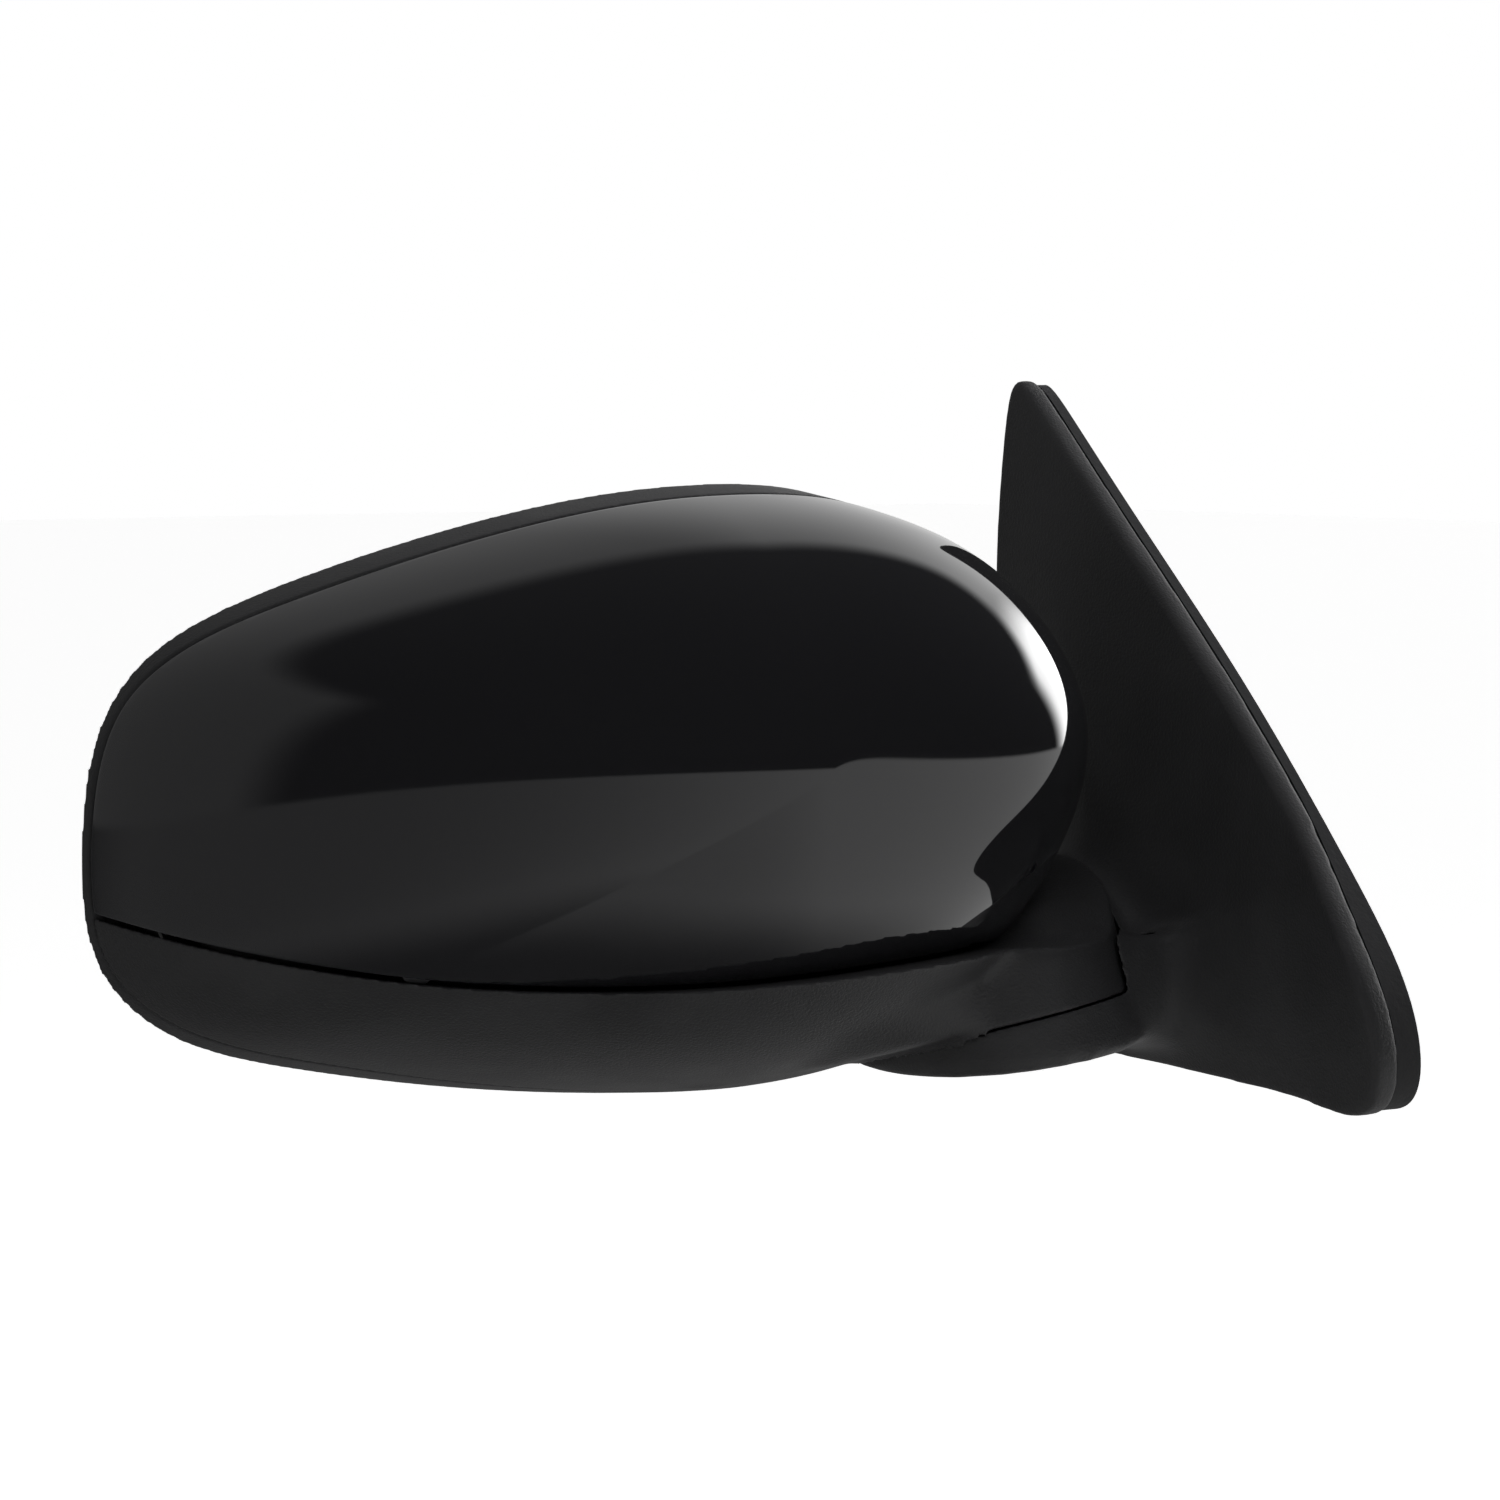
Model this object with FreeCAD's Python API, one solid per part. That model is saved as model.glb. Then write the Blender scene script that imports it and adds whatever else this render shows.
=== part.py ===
"""Passenger-side power door mirror with manual fold, in millimetres.

Row frame: the door face is the plane x = 0 and +X points into the door, +Y is rearward
(the glass looks that way) and +Z is up.  Every separate piece becomes one STEP file.
"""
import os
from math import atan2, cos, hypot, pi, radians, sin, tan

import FreeCAD
import Part

Vec = FreeCAD.Vector
X, Y, Z = Vec(1, 0, 0), Vec(0, 1, 0), Vec(0, 0, 1)

# fold pivot: where its axis crosses the parting plane, and how far it leans per mm of height
FOLD_POINT = Vec(-50.0, -8.0, -39.0)
FOLD_LEAN = (-0.158, 0.184)
HEAD_SWEEP = 12.0          # the head points this many degrees rearward of straight out

# plastic shells
WALL = 2.6
PANEL_GAP = 0.8
REAR_PLANE = 40.0          # rear edge of the head, in the head's own frame
BOSS_R = 32.0
FOOT_R = 32.6
CLEAR_R = 32.9

# door side
FLANGE_X = -9.0            # outer face of the sail at its rim
RIM_X = -3.0               # the cover stands this far off the door
PLATE = 4.0
ARM_ROOT_X = -30.0
ARM_CENTRE = (-8.0, -27.0)
SAIL_CENTRE = (-2.5, -1.5)
SAIL_INRADIUS = 49.0
GROMMET_R = 8.0
FLARE = 7.0                # how tightly the arm flares into the sail
STUD_R = 3.0
STUD_LENGTH = 22.0
STUDS = [(-56.0, -32.0), (28.0, 56.0), (28.0, -30.0)]
COVER_SCREWS = [(27.0, 75.0), (-26.0, 18.0), (28.0, 12.0)]

# fold pivot pieces, heights along the fold axis from the parting plane
POST_R = 7.5
POST_BORE = 5.2
POST_TOP = 46.0
HUB_R = 10.4
HUB_TOP = 31.0
LUG_ANGLES = (70.0, 250.0)
LUG_HALF = 8.0
FOLD_REAR = 62.0
FOLD_FRONT = 30.0

# glass and actuator, centre of movement in the head's own frame
GLASS_CENTRE = (-110.0, 24.0, 12.0)
GLASS_FACE = 37.0
GLASS_THICK = 2.0
HEATER_THICK = 0.6
BACKING_THICK = 2.4
PUSH_RADIUS = 30.0
BALL_R = 4.0
GEAR_R = 11.0
GEAR_TEETH = 26
WORM_R = 3.2
WORM_OFFSET = 15.0

# closed outlines, given as control points of smooth curves
HEAD_OUTLINE = [
    (204.5, 12), (201, 33), (188, 50), (160, 62), (124, 73), (85, 82), (45, 85), (6, 80), (-17, 60),
    (-29, 34), (-22, 8), (-11, -18), (6, -43), (36, -57), (75, -57), (115, -54), (152, -48),
    (184, -41), (201.5, -25), (205, -7)]
GLASS_OUTLINE = [
    (191, 8), (188.5, 30), (174, 45), (148, 57), (113, 67), (80, 74), (48, 75), (29, 66), (23, 40),
    (22, 8), (24, -22), (31, -42), (52, -49), (86, -49), (120, -45), (152, -38), (178, -29),
    (189, -12)]
FRAME_OUTLINE = [
    (150, 40), (140, 50), (100, 60), (60, 66), (20, 64), (-6, 44), (-10, 10), (-6, -14), (16, -28),
    (50, -34), (90, -34), (130, -30), (150, -16), (156, 10)]
FRAME_SCREWS = [(44, 56), (142, 34), (142, -20), (46, -27)]
ACTUATOR_SCREWS = [(-22, -40), (40, -40), (40, 20)]
SAIL_OUTLINE = [
    (-99, -38), (-92, -22), (-74, -1), (-56, 19), (-38, 38), (-17.5, 57.5), (5, 78), (27, 99),
    (37.5, 109), (41.5, 106), (44, 90), (46, 72), (46.5, 50), (47, 20), (47, -10), (47, -35),
    (45.5, -49), (35, -50), (0, -50), (-40, -52), (-75, -54), (-92, -56), (-99, -50)]
ARM_OUTLINE = [
    (-32.5, -20), (-32.5, -18), (-30, -18.4), (-22, -20), (-18, -17.5), (-12, -11), (-5, -7.5),
    (4, -3.5), (10, -3.5), (13, -9), (13.5, -23), (12, -37), (3, -45), (-8, -47.5), (-22, -46),
    (-31.5, -43.5), (-34, -38), (-34, -28)]
CROWN = (62.0, 22.0)       # foremost point of the head (across, height)
FRONT_PLANE = -48.0
CROWN_REACH = (120.0, 70.0)
FULLNESS = (-0.25, 0.8, 0.0, 0.9)      # outboard, inboard, up, down
# how far the lower housing stands out in front of the cap (across, step)
LEDGE = [
    (-40, 8.0), (0, 8.5), (20, 9.0), (40, 8.5), (80, 6.0), (120, 2.8), (150, 1.0), (230, 0.5)]
RINGS = (0.12, 0.26, 0.40, 0.54, 0.67, 0.78, 0.87, 0.93, 0.97, 1.0)
# height of the joint between cap and housing (across, height)
SEAM = [
    (225, -4), (208, -9), (194, -13.4), (176, -17.8), (162, -20.4), (144, -23), (118, -24.8),
    (85, -24.5), (60, -22.7), (42, -21.1), (15, -19.2), (0, -18.6), (-15, -18.2), (-45, -17.8)]
# how far back the cap reaches (across, rearward)
CAP_EDGE = [
    (-45, 25), (0, 25), (60, 24), (120, 25), (160, 28), (185, 33), (197, 36.5), (225, 37.5)]
# top of the fold boss, which carries on the line of the arm (rearward, height) in the row frame
BOSS_TOP = [
    (-60, -18), (-34, -18.5), (-25, -19.2), (-18, -16.6), (-12, -11.6), (-4, -7.6), (6, -4.0),
    (20, -2), (40, -1)]



# ---------------------------------------------------------------- helpers
def smooth(x):
    x = max(0.0, min(1.0, x))
    return x * x * (3 - 2 * x)


def closed_curve(points, u):
    """Point at u (0 to 1) on the smooth closed curve steered by the control points."""
    n = len(points)
    place = (u % 1.0) * n
    i = int(place) % n
    f = place - int(place)
    weights = ((1 - f) ** 3 / 6, (3 * f ** 3 - 6 * f ** 2 + 4) / 6,
               (-3 * f ** 3 + 3 * f ** 2 + 3 * f + 1) / 6, f ** 3 / 6)
    near = [points[(i + k - 1) % n] for k in range(4)]
    return tuple(sum(weights[k] * near[k][axis] for k in range(4)) for axis in (0, 1))


def ring_wire(points):
    """Smooth closed wire through evenly numbered points."""
    n = len(points)
    curve = Part.BSplineCurve()
    curve.interpolate(Points=points, Parameters=[i / n for i in range(n + 1)], PeriodicFlag=True)
    return Part.Wire(curve.toShape())


def prism(wire, direction):
    return Part.Face(wire).extrude(direction)


def box(x0, x1, y0, y1, z0, z1):
    return Part.makeBox(x1 - x0, y1 - y0, z1 - z0, Vec(x0, y0, z0))


def rod(radius, start, end):
    return Part.makeCylinder(radius, (end - start).Length, start, end - start)


def tube(outer, inner, start, end):
    return rod(outer, start, end).cut(rod(inner, start, end))


def fuse(*shapes):
    return shapes[0].multiFuse(list(shapes[1:])) if len(shapes) > 1 else shapes[0]


def cut(shape, *tools):
    return shape.cut(list(tools))


def into_head(shape):
    """Head frame to row frame."""
    shape = shape.copy()
    shape.rotate(Vec(0, 0, 0), Z, -HEAD_SWEEP)
    shape.translate(Vec(FOLD_POINT.x, FOLD_POINT.y, 0))
    return shape


def out_of_head(shape):
    """Row frame to head frame."""
    shape = shape.copy()
    shape.translate(Vec(-FOLD_POINT.x, -FOLD_POINT.y, 0))
    shape.rotate(Vec(0, 0, 0), Z, HEAD_SWEEP)
    return shape


def onto_pivot(shape):
    """Pivot frame (z up the fold axis from the parting plane) to row frame."""
    axis = Vec(FOLD_LEAN[0], FOLD_LEAN[1], 1.0)
    shape = shape.copy()
    shape.Placement = FreeCAD.Placement(FOLD_POINT, FreeCAD.Rotation(Z, axis)).multiply(shape.Placement)
    return shape


def save(name, *shapes):
    """Write one piece to its own file; several shapes stay separate solids."""
    solids = [s for shape in shapes for s in shape.Solids]
    result = solids[0] if len(solids) == 1 else Part.makeCompound(solids)
    good = all(s.isValid() for s in solids)
    b = result.BoundBox
    spans = (b.XMin, b.XMax, b.YMin, b.YMax, b.ZMin, b.ZMax)
    volume = sum(s.Volume for s in solids)
    print("%-20s solids %2d valid %s volume %9.1f" % (name, len(solids), good, volume), end="")
    print("  x %.1f %.1f y %.1f %.1f z %.1f %.1f" % spans)
    result.exportStep("parts/%s.step" % name)


# ---------------------------------------------------------------- head shells
def head_point(u, rho):
    """Point of the head's outer form: rho 0 is its front, 1 its rear edge, u runs round it."""
    across, up = closed_curve(HEAD_OUTLINE, u)
    dx, dz = across - CROWN[0], up - CROWN[1]
    reach = hypot(dx, dz)
    cx, cz = dx / reach, dz / reach
    inner = CROWN_REACH[0] * CROWN_REACH[1] / hypot(CROWN_REACH[1] * cx, CROWN_REACH[0] * cz)
    radius = rho * (inner + (reach - inner) * rho ** 1.5)
    sideways = FULLNESS[0] if cx > 0 else FULLNESS[1]
    fullness = sideways * cx * cx + (FULLNESS[2] if cz > 0 else FULLNESS[3]) * cz * cz
    p = 2.0 + fullness * rho
    q = 2.0 + 0.8 * max(0.0, fullness)
    fall = (1 - (1 - (0.985 * rho) ** q) ** (1 / p)) / (1 - (1 - 0.985 ** q) ** (1 / p))
    back = FRONT_PLANE + (REAR_PLANE - FRONT_PLANE) * fall
    w = CROWN[0] + radius * cx
    w += 15 * smooth(back / 42) * smooth((60 - w) / 80)      # the inner rear corner tucks in
    return Vec(-w, back, CROWN[1] + radius * cz)


def along_table(table, x):
    """Value at x from a list of (x, value) pairs, eased between them."""
    for (x0, v0), (x1, v1) in zip(table, table[1:]):
        if x <= x1:
            return v0 + (v1 - v0) * max(0.0, min(1.0, (x - x0) / (x1 - x0)))
    return table[-1][1]


def skirt_point(u, rho):
    """The lower housing's form: the head's form pushed forward by the ledge, fading out rearward."""
    p = head_point(u, rho)
    return Vec(p.x, p.y - along_table(LEDGE, -p.x) * (1 - smooth((p.y + 20) / 44)), p.z)


def moved_in(form, u, rho, depth):
    """A point of the form moved into the body, square to the surface."""
    e = 1e-3
    across = form(u + e, rho) - form(u - e, rho)
    along = form(u, min(rho + e, 1.0)) - form(u, rho - e)
    normal = across.cross(along).normalize()
    here = form(u, rho)
    if normal.dot(here - Vec(-90, 20, 5)) < 0:
        normal = normal * -1
    return here - normal * depth


def dome(form, depth=0.0, count=72):
    """Solid inside a form; with a depth it is the space left inside a wall that thick."""
    sections = [Part.Vertex(form(0, 1e-6) + Vec(0, depth, 0))]
    for rho in RINGS:
        shares = [i / count for i in range(count)]
        points = [moved_in(form, u, rho, depth) if depth else form(u, rho) for u in shares]
        if rho == 1.0:
            points = [Vec(p.x, REAR_PLANE, p.z) for p in points]
        sections.append(ring_wire(points))
    solid = Part.makeLoft(sections, True, False)
    if depth:
        rim = prism(ring_wire([Vec(p.x, REAR_PLANE - 0.01, p.z) for p in points]), Vec(0, 5, 0))
        solid = solid.fuse(rim)
    return solid


def under_profile(points, to_point, floor, direction):
    """Prism under (or over) a smooth profile, closed by a straight line through the floor points."""
    curve = Part.BSplineCurve()
    curve.interpolate(Points=[to_point(*p) for p in points])
    edge = curve.toShape()
    a, b = to_point(*points[0]), to_point(*points[-1])
    corners = [b] + floor + [a]
    lines = [Part.makeLine(corners[i], corners[i + 1]) for i in range(len(corners) - 1)]
    return Part.Face(Part.Wire([edge] + lines)).extrude(direction)


def seam_below(drop):
    """Everything under the cap joint, lowered by drop."""
    def at(w, z):
        return Vec(-w, -120, z - drop)
    return under_profile(SEAM, at, [Vec(45, -120, -130), Vec(-225, -120, -130)], Vec(0, 260, 0))


def boss_top_below(drop):
    """Everything under the top of the fold boss, in the head frame."""
    def at(y, z):
        return Vec(-150, y, z - drop)
    solid = under_profile(BOSS_TOP, at, [Vec(-150, 40, -130), Vec(-150, -60, -130)], Vec(160, 0, 0))
    return out_of_head(solid)


def behind_cap(shift):
    """Everything behind the rear edge of the cap, moved rearward by shift."""
    def at(w, t):
        return Vec(-w, t + shift, -150)
    return under_profile(CAP_EDGE, at, [Vec(-225, 120, -150), Vec(45, 120, -150)], Vec(0, 0, 320))


def boss_body(radius, bottom, top):
    """Round body on the fold axis, in the head frame."""
    return out_of_head(onto_pivot(rod(radius, Vec(0, 0, bottom), Vec(0, 0, top))))


def grown_wire(outline, grow, t, count=72):
    """The smooth outline, grown outward, as a wire square to the rearward direction."""
    points = []
    middle = outline_centre(outline)
    for i in range(count):
        (w0, z0), (w, z), (w1, z1) = (closed_curve(outline, (i + k) / count) for k in (-0.1, 0, 0.1))
        along = hypot(w1 - w0, z1 - z0)
        side = 1 if (z0 - z1) * (w - middle[0]) + (w1 - w0) * (z - middle[1]) > 0 else -1
        points.append(Vec(-(w + side * grow * (z0 - z1) / along), t, z + side * grow * (w1 - w0) / along))
    return ring_wire(points)


def outline_centre(outline):
    return sum(p[0] for p in outline) / len(outline), sum(p[1] for p in outline) / len(outline)


def glass_wire(grow, t):
    return grown_wire(GLASS_OUTLINE, grow, t)


def beside_boss():
    """The space the arm's end takes up beside the boss, for the head to stay out of."""
    def at(angle, radius):
        return Vec(radius * cos(radians(angle)), radius * sin(radians(angle)), -12)
    corners = [at(-105, 10), at(-105, 95), at(-40, 140), at(40, 140), at(106, 95), at(106, 10)]
    wedge = Part.Face(Part.makePolygon(corners + corners[:1])).extrude(Vec(0, 0, 46))
    return out_of_head(onto_pivot(wedge.cut(rod(BOSS_R, Vec(0, 0, -20), Vec(0, 0, 60)))))


def front_cap():
    shell = dome(head_point).cut(dome(head_point, WALL))
    shell = shell.cut(seam_below(-PANEL_GAP)).cut(behind_cap(-PANEL_GAP))
    return into_head(shell.cut(boss_top_below(-PANEL_GAP).common(boss_body(BOSS_R + 4, -30, 60))))


def bowl(grow):
    """Outside of the walls round and behind the glass, grown by an amount."""
    return prism(glass_wire(6.2 + grow, 15 - grow), Vec(0, REAR_PLANE - 16 + grow, 0))


def rear_housing():
    """Glass surround: rear strip of the head, its lip, and the walls round and behind the glass."""
    outer, inner = dome(head_point), dome(head_point, WALL)
    strip = outer.cut(inner).common(behind_cap(0))
    lip = box(-230, 60, REAR_PLANE - 2.4, REAR_PLANE + 1, -80, 100).common(outer)
    shroud = bowl(0).common(dome(head_point, WALL + 0.6))
    posts = [rod(4.6, Vec(-w, -0.9, z), Vec(-w, 16, z)) for w, z in FRAME_SCREWS]
    shell = fuse(strip, lip).fuse(fuse(shroud, *posts))
    shell = shell.cut(prism(glass_wire(4.0, 17), Vec(0, 40, 0)))
    for w, z in FRAME_SCREWS:
        shell = shell.cut(rod(2.0, Vec(-w, -2, z), Vec(-w, 12.5, z)))
    x, z = GLASS_CENTRE[0], GLASS_CENTRE[2]
    shell = shell.cut(box(x - 29, x + 48, -5, 30, z - 48, z + 29))
    boss = boss_body(BOSS_R + 0.15, -30, 80).common(boss_top_below(-0.3))
    shell = shell.cut(boss.cut(bowl(0)))
    return into_head(shell.cut(beside_boss()))


def lower_housing():
    """Lower skin of the head with its ledge in front of the cap and the boss that stands on the foot."""
    outer, inner = dome(skirt_point), dome(skirt_point, WALL)
    skin = outer.common(seam_below(0)).cut(inner.common(seam_below(WALL)))
    skin = skin.cut(dome(head_point, WALL + 0.4).cut(seam_below(WALL + 0.1)))
    skin = skin.cut(beside_boss()).cut(behind_cap(-0.15))
    boss = boss_body(BOSS_R, 0.5, 80).common(boss_top_below(0))
    boss = boss.cut(boss_body(BOSS_R - WALL, 0.5 + WALL, 80).common(boss_top_below(WALL)))
    boss = cut(boss, boss_body(24.0, -20, 5), boss_body(HUB_R + 0.5, 10, 80))
    boss = boss.cut(frame_room()).cut(bowl(0.15))
    skin = skin.cut(glass_box(-27.4, 46.4, -0.4, 20, -46.4, 27))
    skin = skin.cut(boss_body(BOSS_R - 0.2, 0.5, 60)).cut(boss_body(FOOT_R + 0.35, -60, 0.5))
    return into_head(skin.fuse(boss))


def frame_room():
    """The space inside the head that its frame takes up beside the boss."""
    return box(-60, -12, -16.6, -0.5, -60, 60).common(dome(head_point, WALL + 2.0))


# ---------------------------------------------------------------- door side
def ray_radius(outline, centre, angle):
    """How far the smooth outline lies from the centre in one direction."""
    best = None
    count = 360
    previous = closed_curve(outline, 0)
    for i in range(1, count + 1):
        here = closed_curve(outline, i / count)
        a = atan2(previous[1] - centre[1], previous[0] - centre[0]) - angle
        b = atan2(here[1] - centre[1], here[0] - centre[0]) - angle
        a, b = (a + pi) % (2 * pi) - pi, (b + pi) % (2 * pi) - pi
        if a * b <= 0 and abs(a - b) < 1:
            s = a / (a - b) if a != b else 0
            y = previous[0] + s * (here[0] - previous[0]) - centre[0]
            z = previous[1] + s * (here[1] - previous[1]) - centre[1]
            best = hypot(y, z) if best is None else max(best, hypot(y, z))
        previous = here
    return best


def corner_lift(y):
    """The front lower corner of the sail stands off the door."""
    return 5.0 * smooth((-58 - y) / 34)


def sewn(faces):
    shell = Part.makeShell(faces)
    shell.sewShape()
    solid = Part.makeSolid(shell)
    if solid.Volume < 0:
        solid.reverse()
    return solid


def flare_profile(count=13):
    """Even steps down the flare from the sail (1) to the arm (0), each with its distance out."""
    fine = []
    for i in range(601):
        spread = (1 - i / 600) ** 3
        fine.append((spread, FLANGE_X + (ARM_ROOT_X - FLANGE_X) * (1 - spread ** (1 / FLARE))))
    lengths = [0.0]
    for (s0, x0), (s1, x1) in zip(fine, fine[1:]):
        lengths.append(lengths[-1] + hypot(60 * (s1 - s0), x1 - x0))
    steps, i = [], 0
    for k in range(count):
        while lengths[i] < lengths[-1] * k / (count - 1) - 1e-9:
            i += 1
        steps.append(fine[i])
    return steps


def sail_form(inset, push, tip_x, count=84):
    """Solid from the sail rim down to the arm; inset and push make the hollow for it."""
    sail, arm = [], []
    for i in range(count):
        y, z = closed_curve(SAIL_OUTLINE, i / count)
        angle = atan2(z - ARM_CENTRE[1], y - ARM_CENTRE[0])
        y, z = inset_from_rim(y, z, inset)
        sail.append((y, z))
        near = ray_radius(ARM_OUTLINE, ARM_CENTRE, angle) - inset
        arm.append((ARM_CENTRE[0] + near * cos(angle), ARM_CENTRE[1] + near * sin(angle)))

    def ring(spread, x, lifted=True):
        points = []
        for far, near in zip(sail, arm):
            y, z = (near[k] + (far[k] - near[k]) * spread for k in (0, 1))
            points.append(Vec(x - (corner_lift(y) * spread if lifted else 0), y, z))
        return ring_wire(points)
    top = ring(1.0, 3.0, False)
    rim = ring(1.0, FLANGE_X + push + 1.0)
    flare = [ring(0.985 * s, x + push) for s, x in flare_profile()]
    flare += [ring(0.0, ARM_ROOT_X + push - 6), ring(0.0, tip_x)]
    faces = [Part.Face(top), Part.Face(flare[-1])]
    faces += Part.makeLoft([top, rim], False, True).Faces
    faces += Part.makeLoft([rim, flare[0]], False, True).Faces
    faces += Part.makeLoft(flare, False, False).Faces
    return sewn(faces)


def inset_from_rim(y, z, inset):
    """A point of the sail's outline moved inward; all its sides are the same distance from its centre."""
    scale = 1 - inset / SAIL_INRADIUS
    return SAIL_CENTRE[0] + (y - SAIL_CENTRE[0]) * scale, SAIL_CENTRE[1] + (z - SAIL_CENTRE[1]) * scale


def sail_section(inset, x):
    points = []
    for i in range(84):
        y, z = inset_from_rim(*closed_curve(SAIL_OUTLINE, i / 84), inset)
        points.append(Vec(x, y, z))
    return ring_wire(points)


def door_gap(stand_off):
    """Everything between the door and the rim of the cover, which lifts at the front lower corner."""
    profile = [(y, RIM_X + stand_off - 0.8 * corner_lift(y)) for y in range(-150, 101, 10)]
    corners = [Vec(60, 100, -100), Vec(60, -150, -100)]
    return under_profile(profile, lambda y, x: Vec(x, y, -100), corners, Vec(0, 0, 300))


def foot_under(lift):
    """Everything above the underside of the foot, raised by lift."""
    corners = [(-90, -50.5), (-50, -45.2), (-30, -43.6), (10, -43.6), (10, 60), (-90, 60)]
    points = [Vec(x, -80, z + lift) for x, z in corners]
    return Part.Face(Part.makePolygon(points + points[:1])).extrude(Vec(0, 160, 0))


def head_space():
    """Space above the parting plane that the head turns in."""
    drum = rod(CLEAR_R, Vec(0, 0, 0), Vec(0, 0, 120))
    return onto_pivot(drum)


def sail_cover():
    skin = sail_form(0, 0, -46)
    foot = onto_pivot(rod(FOOT_R, Vec(0, 0, -14), Vec(0, 0, 0))).common(foot_under(0))
    outer = skin.fuse(foot)
    hollow = sail_form(WALL + 0.3, WALL, -46)
    foot_room = onto_pivot(rod(FOOT_R - WALL, Vec(0, 0, -14), Vec(0, 0, 1))).common(foot_under(WALL))
    shell = cut(outer, hollow.fuse(foot_room), head_space(), door_gap(0))
    for y, z in COVER_SCREWS:
        boss = rod(4.0, Vec(-PLATE - 0.1, y, z), Vec(FLANGE_X, y, z)).common(outer)
        shell = shell.fuse(boss).cut(rod(1.5, Vec(0, y, z), Vec(-7.4, y, z)))
    return shell


def base_gasket():
    depth = RIM_X - 5
    ring = prism(sail_section(0.5, depth), Vec(-depth, 0, 0))
    ring = ring.cut(prism(sail_section(8.6, depth - 1), Vec(20, 0, 0)))
    return ring.common(door_gap(0.05))


def tunnel(radius):
    """Wire way through the arm, from the door to the pivot."""
    slope = Vec(-52, 0, -16).normalize()
    return rod(radius, Vec(0, *ARM_CENTRE) - slope * 10, Vec(0, *ARM_CENTRE) + slope * 53)


def base_casting():
    plate = prism(sail_section(9.0, -PLATE), Vec(PLATE, 0, 0))
    arm = prism(arm_section(-WALL - 1.6, RIM_X - 0.2), Vec(-42.6, 0, 0))
    disc = onto_pivot(rod(27.0, Vec(0, 0, -14), Vec(0, 0, -0.6))).common(foot_under(WALL + 0.4))
    pads = [rod(7.5, Vec(-PLATE - 1.4, y, z), Vec(0, y, z)) for y, z in STUDS]
    body = fuse(plate, arm, *pads).fuse(disc)
    body = body.cut(onto_pivot(rod(CLEAR_R, Vec(0, 0, -0.6), Vec(0, 0, 60))))
    body = body.cut(tunnel(GROMMET_R)).cut(onto_pivot(rod(16.0, Vec(0, 0, -3.6), Vec(0, 0, 0))))
    body = body.cut(rod(12.0, Vec(-1.8, *ARM_CENTRE), Vec(2, *ARM_CENTRE)))
    for y, z in STUDS:
        body = body.cut(rod(3.4, Vec(-10, y, z), Vec(2, y, z)))
    for y, z in COVER_SCREWS:
        body = body.cut(rod(1.9, Vec(-10, y, z), Vec(2, y, z)))
        body = body.cut(rod(3.9, Vec(-1.9, y, z), Vec(2, y, z)))
    return body


def arm_section(grow, x):
    """Section of the arm, grown outward by an amount."""
    points = []
    for i in range(40):
        angle = 2 * pi * i / 40
        r = ray_radius(ARM_OUTLINE, ARM_CENTRE, angle) + grow
        points.append(Vec(x, ARM_CENTRE[0] + r * cos(angle), ARM_CENTRE[1] + r * sin(angle)))
    return ring_wire(points)


def mounting_studs():
    made = []
    for y, z in STUDS:
        point = Vec(STUD_LENGTH - 1.2, y, z)
        shank = rod(STUD_R, Vec(0, y, z), point)
        tip = Part.makeCone(STUD_R, STUD_R - 1.0, 1.2, point, X)
        root = rod(3.4, Vec(-PLATE, y, z), Vec(0, y, z))
        made.append(fuse(root, shank, tip))
    return made


def cover_screws():
    made = []
    for y, z in COVER_SCREWS:
        head = rod(3.5, Vec(-1.9, y, z), Vec(-0.3, y, z))
        flat = box(-1.2, 0, y - 2.0, y + 2.0, z - 0.45, z + 0.45)
        slot = flat.fuse(box(-1.2, 0, y - 0.45, y + 0.45, z - 2.0, z + 2.0))
        made.append(head.fuse(rod(1.48, Vec(-7.2, y, z), Vec(-1.9, y, z))).cut(slot))
    return made


def wire_grommet():
    """Rubber bush that lines the wire way where it leaves the casting at the door."""
    centre = Vec(0, *ARM_CENTRE)
    slope = Vec(-52, 0, -16).normalize()
    lip = rod(11.8, centre + Vec(-1.8, 0, 0), centre + Vec(-0.2, 0, 0))
    neck = rod(GROMMET_R - 0.05, centre - slope * 2, centre + slope * 12)
    neck = neck.common(box(-30, -1.8, -60, 60, -90, 60))
    return lip.fuse(neck).cut(rod(5.5, centre - slope * 10, centre + slope * 30))


# ---------------------------------------------------------------- pivot
def pivot_post():
    flange = rod(16.0, Vec(0, 0, -3.6), Vec(0, 0, -0.6))
    body = fuse(flange, rod(POST_R, Vec(0, 0, -0.6), Vec(0, 0, POST_TOP)))
    groove = tube(POST_R + 1, POST_R - 0.8, Vec(0, 0, 43.0), Vec(0, 0, 44.2))
    body = onto_pivot(cut(body, rod(POST_BORE, Vec(0, 0, -10), Vec(0, 0, 60)), groove))
    return body.common(foot_under(WALL + 0.1))


def lug(inner, outer, bottom, top, centre, half):
    """Ring sector used for the stop lugs and for their slots."""
    ring = tube(outer, inner, Vec(0, 0, bottom), Vec(0, 0, top))
    reach = outer * 3
    steps = max(2, int(half / 20) + 1)
    corners = [Vec(0, 0, bottom)]
    for i in range(2 * steps + 1):
        a = radians(centre - half + i * half / steps)
        corners.append(Vec(reach * cos(a), reach * sin(a), bottom))
    slice_face = Part.Face(Part.makePolygon(corners + corners[:1]))
    return ring.common(slice_face.extrude(Vec(0, 0, top - bottom)))


def stop_ring():
    ring = tube(20.0, POST_R, Vec(0, 0, -0.6), Vec(0, 0, 1.4))
    lugs = [lug(13.0, 18.5, 1.0, 5.6, a, LUG_HALF) for a in LUG_ANGLES]
    return onto_pivot(fuse(ring, *lugs)).common(foot_under(WALL + 0.1))


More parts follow.
